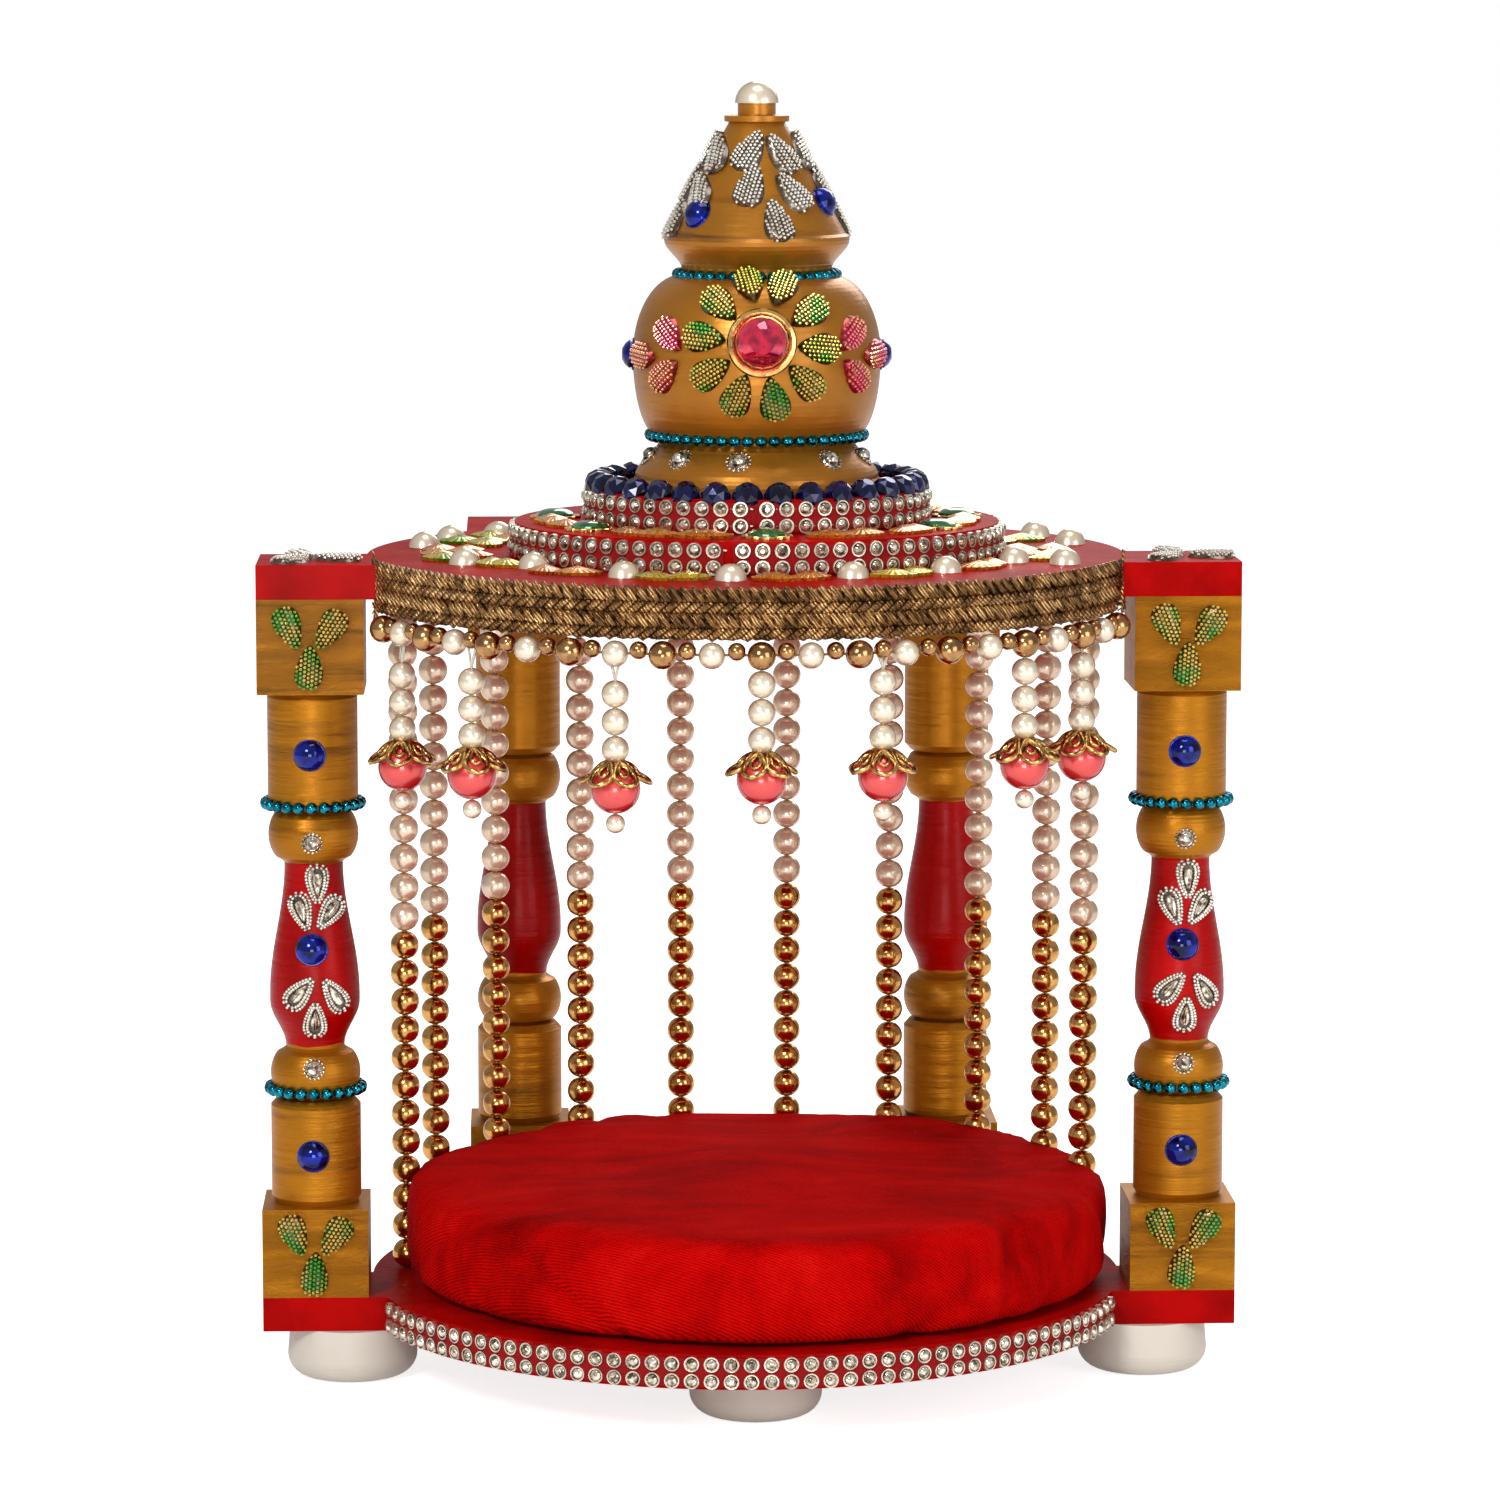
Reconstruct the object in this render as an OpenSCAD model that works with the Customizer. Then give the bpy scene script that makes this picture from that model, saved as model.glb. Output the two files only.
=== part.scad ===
// A small round shrine stand: a red base board and a red roof board, each a
// disc with four square ears, held apart by four turned legs. A turned finial
// on two round tiers crowns the roof. Bead strands close the back, a braid
// and a bead fringe with tassels edge the front of the roof, and a round
// velvet cushion lies on the base. Millimetres, +Z up, the open front at -Y.

/* [Boards] */
// Radius of the round middle of the base and roof boards
board_r = 84.5; // [70:0.5:105]
// Thickness of the base and roof boards
board_t = 7.6; // [5:0.1:12]
// Clear height between the base board and the roof board
post_h = 155.8; // [130:0.1:190]
// Depth, front to back, of the side ears
ear_depth = 26.5; // [24:0.5:34]

/* [Legs] */
// Side of the square blocks at the ends of each leg
block_w = 23.5; // [19:0.5:29]
// Height of the lower square block
block_low_h = 19.8; // [15:0.1:26]
// Height of the upper square block
block_top_h = 21; // [15:0.1:26]
// Radius of the round barrels and bulbs of a leg
barrel_r = 10; // [7.5:0.1:11.5]
// Radius of the narrow necks beside the red vase
neck_r = 6.5; // [4:0.1:7]
// Direction of the front legs, in degrees from the front
front_leg_turn = 82.3; // [75:0.1:88]
// Direction of the rear legs, in degrees from the back
rear_leg_turn = 31.6; // [24:0.1:40]

/* [Feet] */
// Radius of the round plastic feet
foot_r = 14.5; // [10:0.5:16]
// Height of the feet
foot_h = 12; // [6:0.5:18]
// Distance of the front foot ahead of the middle of the board
front_foot_y = 54; // [30:1:60]

/* [Tiers and finial] */
// Radius of the lower tier on the roof
tier_low_r = 54; // [48:0.5:65]
// Radius of the upper tier on the roof
tier_top_r = 37.5; // [34:0.5:46]
// Height of each tier
tier_h = 7.5; // [5:0.1:11]
// Radius of the finial's belly
belly_r = 27.6; // [23:0.1:33]
// Radius of the rim under the finial's cone
rim_r = 20.6; // [18.5:0.1:25]
// Height of the finial's cone, from its rim to its flange
cone_h = 25; // [18:0.1:32]
// Radius of the half pearl on the finial
top_pearl_r = 4.8; // [3:0.1:5.5]
// How far the tiers and the finial stand to the right of the board's middle
crown_shift = 2.4; // [0:0.1:4]

/* [Cushion] */
// Thickness of the cushion at its middle
cushion_h = 24; // [14:0.5:30]
// How far the cushion is pushed forward
cushion_shift = 2; // [0:0.5:4]

/* [Beads] */
// Diameter of the gold beads in the lower part of a strand
gold_bead_d = 6.44; // [5:0.02:8]
// Gold beads in each strand
gold_beads = 12; // [8:1:14]
// Diameter of the pearls in the upper part of a strand
pearl_d = 6.65; // [5:0.05:8]
// Distance of the strands inside the edge of the board
strand_inset = 7.2; // [5:0.1:10]
// Angle between neighbouring strands
strand_step = 18.8; // [16:0.1:19]
// Radius of the gold balls in the fringe
fringe_ball_r = 3.05; // [2:0.05:3.4]
// Radius of the pearls in the fringe
fringe_pearl_r = 2.85; // [2:0.05:3.4]
// Radius of the small copper beads in the fringe
fringe_bead_r = 1.95; // [1.2:0.05:2.1]
// Radius of a tassel's ball
tassel_ball_r = 5.35; // [4:0.05:6.5]

/* [Trims] */
// Width of the woven braid on the roof's front edge
braid_w = 10.8; // [8:0.1:14]
// Thickness of the braid
braid_t = 1.5; // [0.8:0.1:2.5]
// Width of the crystal strips
strip_w = 6.9; // [4:0.1:7.2]
// Thickness of the crystal strips' backing
strip_t = 0.8; // [0.5:0.1:1.5]

/* [Hidden] */
$fn = 96;

// Clearances
seat_gap = 0.1;      // a trim and the round edge that it is glued to
soft_gap = 0.5;      // the cushion and the nearest beads
leg_gap = 1.2;       // a leg block and the round edge of the board

// Heights, from the floor
base_top = foot_h + board_t;
roof_bottom = base_top + post_h;
roof_top = roof_bottom + board_t;
tier_top = roof_top + 2 * tier_h;

// Places of the legs, from the middle of the boards
leg_reach = board_r + block_w / 2 + leg_gap;
front_leg = leg_reach * [sin(front_leg_turn), -cos(front_leg_turn)];
rear_leg = leg_reach * [sin(rear_leg_turn), cos(rear_leg_turn)];
ear_front = front_leg.y - block_w / 2;
ear_end = front_leg.x + block_w / 2;
rear_edge = rear_leg.y + block_w / 2;
foot_share = 0.92;   // a foot stands a little inside its leg

// Turned shape of a leg, from the base board up and from the roof board down
low_groove_h = 43.4;  // the base board to the lower bead groove
top_groove_h = 47.3;  // the upper bead groove to the roof board
low_bulb_h = 11.6;    // the bulb between the lower groove and the vase
top_bulb_h = 12.2;    // the bulb between the vase and the upper groove
vase_swell_h = 10.2;  // the foot of the vase to its widest ring

// Beads
thread_r = 0.45;
thread_bite = 0.7;   // how far a fringe's thread runs into each bead
strand_count = 10;
strand_r = board_r - strand_inset;
strand_pearls = floor((post_h - gold_beads * gold_bead_d) / pearl_d);
bead_lap = 0.12;     // beads of one string press into each other by this
fringe_r = board_r + 1;
fringe_step = 7;     // degrees between the fringe's large beads
fringe_half = 10;    // large beads on each side of the middle one
fringe_z = roof_bottom - 5.8;
trim_turn = acos(-ear_front / board_r);

// Tassels: the half step of the fringe that each hangs from, and its slack
tassels = [[-18, 3], [-13, 2], [-6, 2.5], [0, 0], [5, 0], [12, 0], [16, 0.5]];
tassel_pearl_r = 2.95;
tassel_drop_r = 2.1;
cap_r = 7.2;
cap_h = 3.2;

// The origin is under the middle of the whole stand
front_edge = fringe_r + cap_r;
centre_y = (rear_edge - front_edge) / 2;

// ---- shared shapes ----

// Points of an arc about [x, z] from angle a0 to a1
function arc(x, z, r, a0, a1, n) =
    [for (i = [0:n]) let (a = a0 + (a1 - a0) * i / n) [x + r * cos(a), z + r * sin(a)]];

// Points of a smooth flank from [r0, z0] to [r1, z1], flat at both ends
function flank(r0, z0, r1, z1, n) =
    [for (i = [0:n]) let (k = i / n) [r0 + (r1 - r0) * (1 - cos(180 * k)) / 2, z0 + (z1 - z0) * k]];

// Points of a round bulb of radius r and neck radius n between z0 and z1
function bulb(n, r, z0, z1, steps) =
    [for (i = [0:steps]) let (k = i / steps) [n + (r - n) * sqrt(sin(180 * k)), z0 + (z1 - z0) * k]];

// Turns a piece that faces the front by an angle, seen from above
module turned_to(angle) {
    rotate([0, 0, angle]) children();
}

// Moves what stands on the roof to the crown's middle
module crown() {
    translate([crown_shift, 0, 0]) children();
}

// A bent band on a round edge, from angle a0 to a1 measured from the front
module band(r, t, w, a0, a1) {
    rotate([0, 0, a0 - 90]) rotate_extrude(angle = a1 - a0, $fn = 180)
        translate([r, 0]) square([t, w]);
}

// ---- boards ----

module board() {
    linear_extrude(board_t) union() {
        circle(board_r, $fn = 240);
        translate([-ear_end, ear_front]) square([2 * ear_end, ear_depth]);
        for (s = [-1, 1])
            translate([s * rear_leg.x - block_w / 2, 0]) square([block_w, rear_edge]);
    }
}

module base_board() {
    color("firebrick") translate([0, 0, foot_h]) board();
}

module roof_board() {
    color("firebrick") translate([0, 0, roof_bottom]) board();
}

module tier(r, z) {
    color("firebrick") translate([0, 0, z]) cylinder(h = tier_h, r = r, $fn = 200);
}

// ---- feet ----

module foot(x, y) {
    edge = foot_h * 0.4;
    outline = concat([[0, 0]], arc(foot_r - edge, edge, edge, -90, 0, 8),
                     [[foot_r - 0.6, foot_h], [0, foot_h]]);
    color("ivory") translate([x, y, 0]) rotate_extrude() polygon(outline);
}

// ---- legs ----

// The turned part of a leg, from the lower block to the upper one
function leg_outline() = let (
        low = block_low_h,
        top = post_h - block_top_h,
        groove_low = low_groove_h,
        groove_top = post_h - top_groove_h,
        vase_low = groove_low + low_bulb_h,
        vase_top = groove_top - top_bulb_h,
        vase_mid = vase_low + vase_swell_h
    ) concat(
        [[0, low], [barrel_r - 0.8, low], [barrel_r, low + 1.5], [barrel_r, groove_low - 1.6]],
        [[barrel_r - 1.4, groove_low]],
        bulb(neck_r + 0.6, barrel_r, groove_low + 0.2, vase_low - 0.6, 14),
        flank(neck_r, vase_low, barrel_r, vase_mid, 10),
        flank(barrel_r, vase_mid + 1.5, neck_r, vase_top, 16),
        bulb(neck_r + 0.6, barrel_r, vase_top + 0.6, groove_top - 0.2, 14),
        [[barrel_r - 1.4, groove_top], [barrel_r, groove_top + 1.6]],
        [[barrel_r, top - 1.5], [barrel_r - 0.8, top], [0, top]]
    );

module leg(x, y) {
    color("goldenrod") translate([x, y, base_top]) union() {
        translate([-block_w / 2, -block_w / 2, 0]) cube([block_w, block_w, block_low_h]);
        rotate_extrude() polygon(leg_outline());
        translate([-block_w / 2, -block_w / 2, post_h - block_top_h])
            cube([block_w, block_w, block_top_h]);
    }
}

// ---- finial ----

waist_r = 16.6;
skirt_neck_r = 21.4;
skirt_h = 11.4;
belly_half = 17.85;
collar_h = 8.6;
flange_r = 7.2;
flange_h = 1.8;
stub_r = 4.2;
stub_h = 2.5;
belly_mid = skirt_h + belly_half;
rim_z = belly_mid + belly_half + collar_h;
flange_z = rim_z + cone_h;
finial_h = flange_z + flange_h + stub_h;

// A quarter of an ellipse, from [n, z0] out to the widest ring [r, z0 + h]
function swell(n, r, z0, h, steps) =
    [for (i = [0:steps]) let (a = 90 * i / steps) [n + (r - n) * sin(a), z0 + h * (1 - cos(a))]];

// The same quarter, from the widest ring back in to the neck
function shrink(n, r, z0, h, steps) =
    [for (i = [1:steps]) let (a = 90 * i / steps) [n + (r - n) * cos(a), z0 + h * sin(a)]];

// The finial's outline, from its skirt up to the flat that carries the pearl
function finial_outline() = concat(
    [[0, 0], [belly_r, 0], [belly_r, 1.6]],
    flank(belly_r - 0.4, 2.2, skirt_neck_r, skirt_h, 10),
    swell(skirt_neck_r + 0.8, belly_r, skirt_h + 0.1, belly_half - 0.1, 16),
    shrink(waist_r, belly_r, belly_mid, belly_half, 18),
    flank(waist_r, belly_mid + belly_half + 1, rim_r, rim_z - 0.8, 8),
    [[rim_r, rim_z], [rim_r - 0.9, rim_z + 0.6]],
    [[flange_r - 1, flange_z], [flange_r, flange_z + 0.3]],
    [[flange_r, flange_z + flange_h - 0.3], [stub_r, flange_z + flange_h]],
    [[stub_r, finial_h], [0, finial_h]]
);

module finial() {
    color("goldenrod") translate([0, 0, tier_top]) rotate_extrude($fn = 144)
        polygon(finial_outline());
}

module finial_pearl() {
    color("linen") translate([0, 0, tier_top + finial_h]) intersection() {
        sphere(top_pearl_r);
        cylinder(h = 2 * top_pearl_r, r = 2 * top_pearl_r);
    }
}

// The jewel lies flat on the belly, a little above its widest ring
module finial_jewel() {
    bezel_r = 6.9;
    stone_r = 5.5;
    tilt = 8;
    belly_round = pow(belly_half, 2) / (belly_r - waist_r);
    translate([0, belly_round - belly_r, tier_top + belly_mid])
        rotate([90 - tilt, 0, 0]) translate([0, 0, belly_round + seat_gap])
            color("crimson") union() {
                cylinder(h = 2.2, r = bezel_r);
                cylinder(h = 3.4, r1 = bezel_r - 0.6, r2 = stone_r - 1.6);
            }
}

// ---- cushion ----

module cushion() {
    r = strand_r - pearl_d / 2 - soft_gap;
    side = 8;
    outline = concat([[0, 0], [r - 4, 0]], arc(r - 4, 4, 4, -90, 0, 6),
                     arc(r - side, cushion_h - side - 1.5, side, 0, 78, 8), [[0, cushion_h]]);
    color("red") translate([0, -cushion_shift, base_top]) rotate_extrude($fn = 120)
        polygon(outline);
}

// ---- trims ----

module roof_braid() {
    color("peru") translate([0, 0, roof_top - braid_w + 0.8])
        band(board_r + seat_gap, braid_t, braid_w, -trim_turn, trim_turn);
}

module base_crystal_strip() {
    color("silver") translate([0, 0, foot_h + (board_t - strip_w) / 2])
        band(board_r + seat_gap, strip_t, strip_w, -trim_turn, trim_turn);
}

// A strip round a tier, open for a few degrees at its seam
module tier_strip(r, z, seam, open) {
    color("silver") translate([0, 0, z + (tier_h - strip_w) / 2])
        band(r + seat_gap, strip_t, strip_w, seam + open / 2, seam + 360 - open / 2);
}

// ---- beads ----

// Radius of the fringe's bead at a half step: ball, copper bead or pearl
function fringe_bead(half) =
    half % 2 != 0 ? fringe_bead_r : half % 4 == 0 ? fringe_ball_r : fringe_pearl_r;

// Beads on a thread that runs straight from each bead to the next
module bead_fringe() {
    last = 2 * fringe_half;
    half_step = fringe_step / 2;
    reach = fringe_r * cos(half_step / 2);
    span = 2 * fringe_r * sin(half_step / 2);
    color("sandybrown") translate([0, 0, fringe_z]) union() {
        for (half = [-last:last - 1])
            let (start = fringe_bead(half) - thread_bite, end = fringe_bead(half + 1) - thread_bite)
                turned_to((half + 0.5) * half_step) translate([start - span / 2, -reach, 0])
                    rotate([0, 90, 0]) cylinder(h = span - start - end, r = thread_r, $fn = 16);
        for (half = [-last:last])
            turned_to(half * half_step) translate([0, -fringe_r, 0]) rotate([0, 90, 0])
                sphere(fringe_bead(half), $fn = 32);
    }
}

module strand(index) {
    angle = (index - (strand_count + 1) / 2) * strand_step;
    gold_top = gold_beads * gold_bead_d;
    rotate([0, 0, -angle]) translate([0, strand_r, base_top]) {
        color("goldenrod") union() {
            cylinder(h = post_h, r = thread_r, $fn = 16);
            for (i = [0:gold_beads - 1])
                translate([0, 0, (i + 0.5) * gold_bead_d])
                    sphere((gold_bead_d + bead_lap) / 2, $fn = 32);
            for (i = [0:strand_pearls - 1])
                translate([0, 0, gold_top + (i + 0.5) * pearl_d])
                    sphere((pearl_d + bead_lap) / 2, $fn = 32);
        }
    }
}

module tassel(index) {
    half = tassels[index - 1][0];
    slack = tassels[index - 1][1];
    hang = fringe_bead(half) + 0.15;
    stack = 3.2 + slack;
    ball_z = -stack - 6 * tassel_pearl_r - tassel_ball_r;
    drop_z = ball_z - tassel_ball_r - tassel_drop_r;
    color("lightcoral") turned_to(half * fringe_step / 2) translate([0, -fringe_r, fringe_z]) union() {
        translate([0, 0, drop_z]) cylinder(h = -hang - drop_z, r = thread_r, $fn = 16);
        for (i = [0:2])
            translate([0, 0, -stack - (2 * i + 1) * tassel_pearl_r])
                sphere(tassel_pearl_r + bead_lap / 2, $fn = 32);
        translate([0, 0, ball_z + tassel_ball_r - cap_h])
            cylinder(h = cap_h, r1 = cap_r, r2 = tassel_pearl_r - 0.4, $fn = 48);
        translate([0, 0, ball_z]) sphere(tassel_ball_r, $fn = 48);
        translate([0, 0, drop_z]) sphere(tassel_drop_r + bead_lap / 2, $fn = 32);
    }
}

// ---- the stand ----

translate([0, -centre_y, 0]) {
    base_board();
    foot(0, -front_foot_y);  // foot_front
    foot(-front_leg.x * foot_share, front_leg.y);  // foot_left
    foot(front_leg.x * foot_share, front_leg.y);  // foot_right
    foot(-rear_leg.x * foot_share, rear_leg.y * foot_share);  // foot_rear_left
    foot(rear_leg.x * foot_share, rear_leg.y * foot_share);  // foot_rear_right
    leg(-front_leg.x, front_leg.y);  // leg_front_left
    leg(front_leg.x, front_leg.y);  // leg_front_right
    leg(-rear_leg.x, rear_leg.y);  // leg_rear_left
    leg(rear_leg.x, rear_leg.y);  // leg_rear_right
    roof_board();
    crown() tier(tier_low_r, roof_top);  // roof_tier_lower
    crown() tier(tier_top_r, roof_top + tier_h);  // roof_tier_upper
    crown() finial();
    crown() finial_pearl();
    crown() finial_jewel();
    cushion();
    roof_braid();
    bead_fringe();
    base_crystal_strip();
    crown() tier_strip(tier_low_r, roof_top, -5.5, 4);  // lower_tier_crystal_strip
    crown() tier_strip(tier_top_r, roof_top + tier_h, 1.5, 2);  // upper_tier_crystal_strip
    strand(1);  // bead_strand_01
    strand(2);  // bead_strand_02
    strand(3);  // bead_strand_03
    strand(4);  // bead_strand_04
    strand(5);  // bead_strand_05
    strand(6);  // bead_strand_06
    strand(7);  // bead_strand_07
    strand(8);  // bead_strand_08
    strand(9);  // bead_strand_09
    strand(10);  // bead_strand_10
    tassel(1);  // tassel_1
    tassel(2);  // tassel_2
    tassel(3);  // tassel_3
    tassel(4);  // tassel_4
    tassel(5);  // tassel_5
    tassel(6);  // tassel_6
    tassel(7);  // tassel_7
}
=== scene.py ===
"""A small shrine stand: red boards on turned gold legs, beads, a jewelled roof and a velvet cushion."""

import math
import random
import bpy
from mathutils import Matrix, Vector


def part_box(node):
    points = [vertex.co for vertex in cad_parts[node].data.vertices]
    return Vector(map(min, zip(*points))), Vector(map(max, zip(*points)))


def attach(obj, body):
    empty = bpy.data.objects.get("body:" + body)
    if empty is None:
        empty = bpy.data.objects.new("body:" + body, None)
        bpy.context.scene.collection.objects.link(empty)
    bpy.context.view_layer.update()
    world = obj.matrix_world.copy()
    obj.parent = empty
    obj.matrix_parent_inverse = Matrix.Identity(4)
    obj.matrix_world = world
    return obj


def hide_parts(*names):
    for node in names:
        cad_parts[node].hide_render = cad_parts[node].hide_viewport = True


bl_info = {
    "name": "Shrine stand",
    "version": (1, 0, 0),
    "blender": (4, 5, 0),
    "location": "View3D > Sidebar > Shrine",
    "description": "Finishes a turned shrine stand with paint, beads, stones, braid and a cushion",
    "category": "Add Mesh",
}

import bpy
from mathutils import Matrix, Vector

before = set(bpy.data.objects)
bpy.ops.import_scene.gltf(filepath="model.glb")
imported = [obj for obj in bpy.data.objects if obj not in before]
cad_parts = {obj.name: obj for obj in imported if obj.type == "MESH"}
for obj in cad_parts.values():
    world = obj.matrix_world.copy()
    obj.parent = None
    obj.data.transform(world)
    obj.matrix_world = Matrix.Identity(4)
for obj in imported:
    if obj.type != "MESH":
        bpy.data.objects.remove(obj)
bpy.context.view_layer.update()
MM = 0.001
BODY = "root"

# ---- places, from the frame ----

BASE_LOW, BASE_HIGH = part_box("base_board")
ROOF_LOW, ROOF_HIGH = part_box("roof_board")
TIER1_LOW, TIER1_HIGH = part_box("roof_tier_lower")
TIER2_LOW, TIER2_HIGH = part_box("roof_tier_upper")
FINIAL_LOW, FINIAL_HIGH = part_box("finial")
CUSHION_LOW, CUSHION_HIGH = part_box("cushion")
BRAID_LOW, BRAID_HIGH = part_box("roof_braid")
FRINGE_LOW, FRINGE_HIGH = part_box("bead_fringe")
AXIS_X = 0.0
AXIS_Y = (TIER1_LOW.y + TIER1_HIGH.y) / 2
CROWN_X = (TIER1_LOW.x + TIER1_HIGH.x) / 2
STAND = Vector((AXIS_X, AXIS_Y, 0))
CROWN = Vector((CROWN_X, AXIS_Y, 0))
BELLY_R = (FINIAL_HIGH.x - FINIAL_LOW.x) / 2
BOARD_R = AXIS_Y - BASE_LOW.y
TIER1_R = (TIER1_HIGH.x - TIER1_LOW.x) / 2
TIER2_R = (TIER2_HIGH.x - TIER2_LOW.x) / 2
FRINGE_R = AXIS_Y - (FRINGE_LOW.y + FRINGE_HIGH.z / 2 - FRINGE_LOW.z / 2)
FRINGE_Z = (FRINGE_LOW.z + FRINGE_HIGH.z) / 2

# ---- shapes that more than one step needs ----

FRONT_REACH = 71.5  # degrees each way from the front that the braid and the base strip run
VASE_SPAN = (0.3575, 0.6194)  # shares of a leg's height between which it is painted red
COVER_SPARE = 0.0058  # how much wider than the cushion's seat its cover may be, between strands
COVER_ASIDE = 0.0024  # how far the cover lies toward +X, under the roof's tiers
COVER_BACK = 0.975  # how much the cover is drawn in at the back
FILLED, FORMED = 0.14, 0.86  # shares of the cover's edge taken from the filling and from its pattern
STRAND_DENT = (0.008, 2.7, 4.5)  # bulge between strands, and the degrees over which it starts and grows


def on_ring(radius, angle, z, middle=STAND):
    """A point at a radius from an upright axis; the angle is in degrees from the front, toward +X."""
    a = math.radians(angle)
    return Vector((middle.x + radius * math.sin(a), middle.y - radius * math.cos(a), z))


def facing(point, out, up=Vector((0, 0, 1)), spin=0.0):
    """A matrix that lays a piece modelled on XY, nose along +Z, at a point with its nose along out."""
    z = out.normalized()
    x = up.cross(z)
    x = x.normalized() if x.length > 1e-6 else Vector((1, 0, 0))
    y = z.cross(x)
    turn = Matrix((x, y, z)).transposed() @ Matrix.Rotation(math.radians(spin), 3, "Z")
    return Matrix.Translation(point) @ turn.to_4x4()


def out_at(angle, lift=0.0):
    """The direction away from the stand's axis at an angle from the front, tilted up by lift degrees."""
    a, e = math.radians(angle), math.radians(lift)
    return Vector((math.sin(a) * math.cos(e), -math.cos(a) * math.cos(e), math.sin(e)))


# ---- modelling steps ----


def clear():
    """Leaves edit mode and deselects everything."""
    if bpy.context.object and bpy.context.object.mode != "OBJECT":
        bpy.ops.object.mode_set(mode="OBJECT")
    bpy.ops.object.select_all(action="DESELECT")


def choose(*objs):
    """Selects these objects only, and makes the first one active."""
    clear()
    for o in objs:
        o.select_set(True)
    bpy.context.view_layer.objects.active = objs[0]
    return objs[0]


def start(primitive, name, **how):
    """Adds a mesh primitive by its operator's name."""
    clear()
    getattr(bpy.ops.mesh, f"primitive_{primitive}_add")(**how)
    o = bpy.context.object
    o.name = name
    return o


def pick(o, test, kind="VERT"):
    """In edit mode with only the vertices, or faces, that pass the test selected."""
    choose(o)
    bpy.ops.object.mode_set(mode="EDIT")
    bpy.ops.mesh.select_mode(type=kind)
    bpy.ops.mesh.select_all(action="DESELECT")
    bpy.ops.object.mode_set(mode="OBJECT")
    for part in o.data.vertices if kind == "VERT" else o.data.polygons:
        part.select = test(part.co if kind == "VERT" else part)
    bpy.ops.object.mode_set(mode="EDIT")


def leave():
    """Leaves edit mode."""
    bpy.ops.object.mode_set(mode="OBJECT")


def modify(o, kind, **settings):
    """Adds a modifier and applies it."""
    choose(o)
    m = o.modifiers.new(kind.title(), kind)
    for key, value in settings.items():
        setattr(m, key, value)
    bpy.ops.object.modifier_apply(modifier=m.name)
    return o


def settle(o):
    """Applies a piece's place, turn and size to its mesh."""
    choose(o)
    bpy.ops.object.transform_apply(location=True, rotation=True, scale=True)
    return o


def copy_at(source, places):
    """Copies a modelled piece to each matrix, with its own mesh, and returns the copies."""
    copies = []
    for place in places:
        choose(source)
        bpy.ops.object.duplicate(linked=False)
        twin = bpy.context.object
        twin.matrix_world = place
        copies.append(twin)
    return copies


def discard(*objs):
    """Deletes pieces that were only copied from."""
    choose(*objs)
    bpy.ops.object.delete()


def join(name, parts):
    """Joins parts into one object whose place is in its mesh."""
    choose(*parts)
    if len(parts) > 1:
        bpy.ops.object.join()
    o = bpy.context.object
    bpy.ops.object.transform_apply(location=True, rotation=True, scale=True)
    o.name = name
    o.data.name = name
    return o


def strew(name, source, places):
    """Copies a piece to each place, joins the copies and drops the source."""
    o = join(name, copy_at(source, places))
    discard(source)
    return o


def finish_piece(o, replaced=(), smooth=40):
    """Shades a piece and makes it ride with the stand."""
    choose(o)
    if smooth:
        bpy.ops.object.shade_smooth_by_angle(angle=math.radians(smooth))
    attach(o, BODY)
    if replaced:
        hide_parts(*replaced)
    return o


def paint(o, *materials):
    """Gives a piece its materials, in slot order."""
    o.data.materials.clear()
    for m in materials:
        o.data.materials.append(m)
    return o


# ---- materials ----


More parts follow.
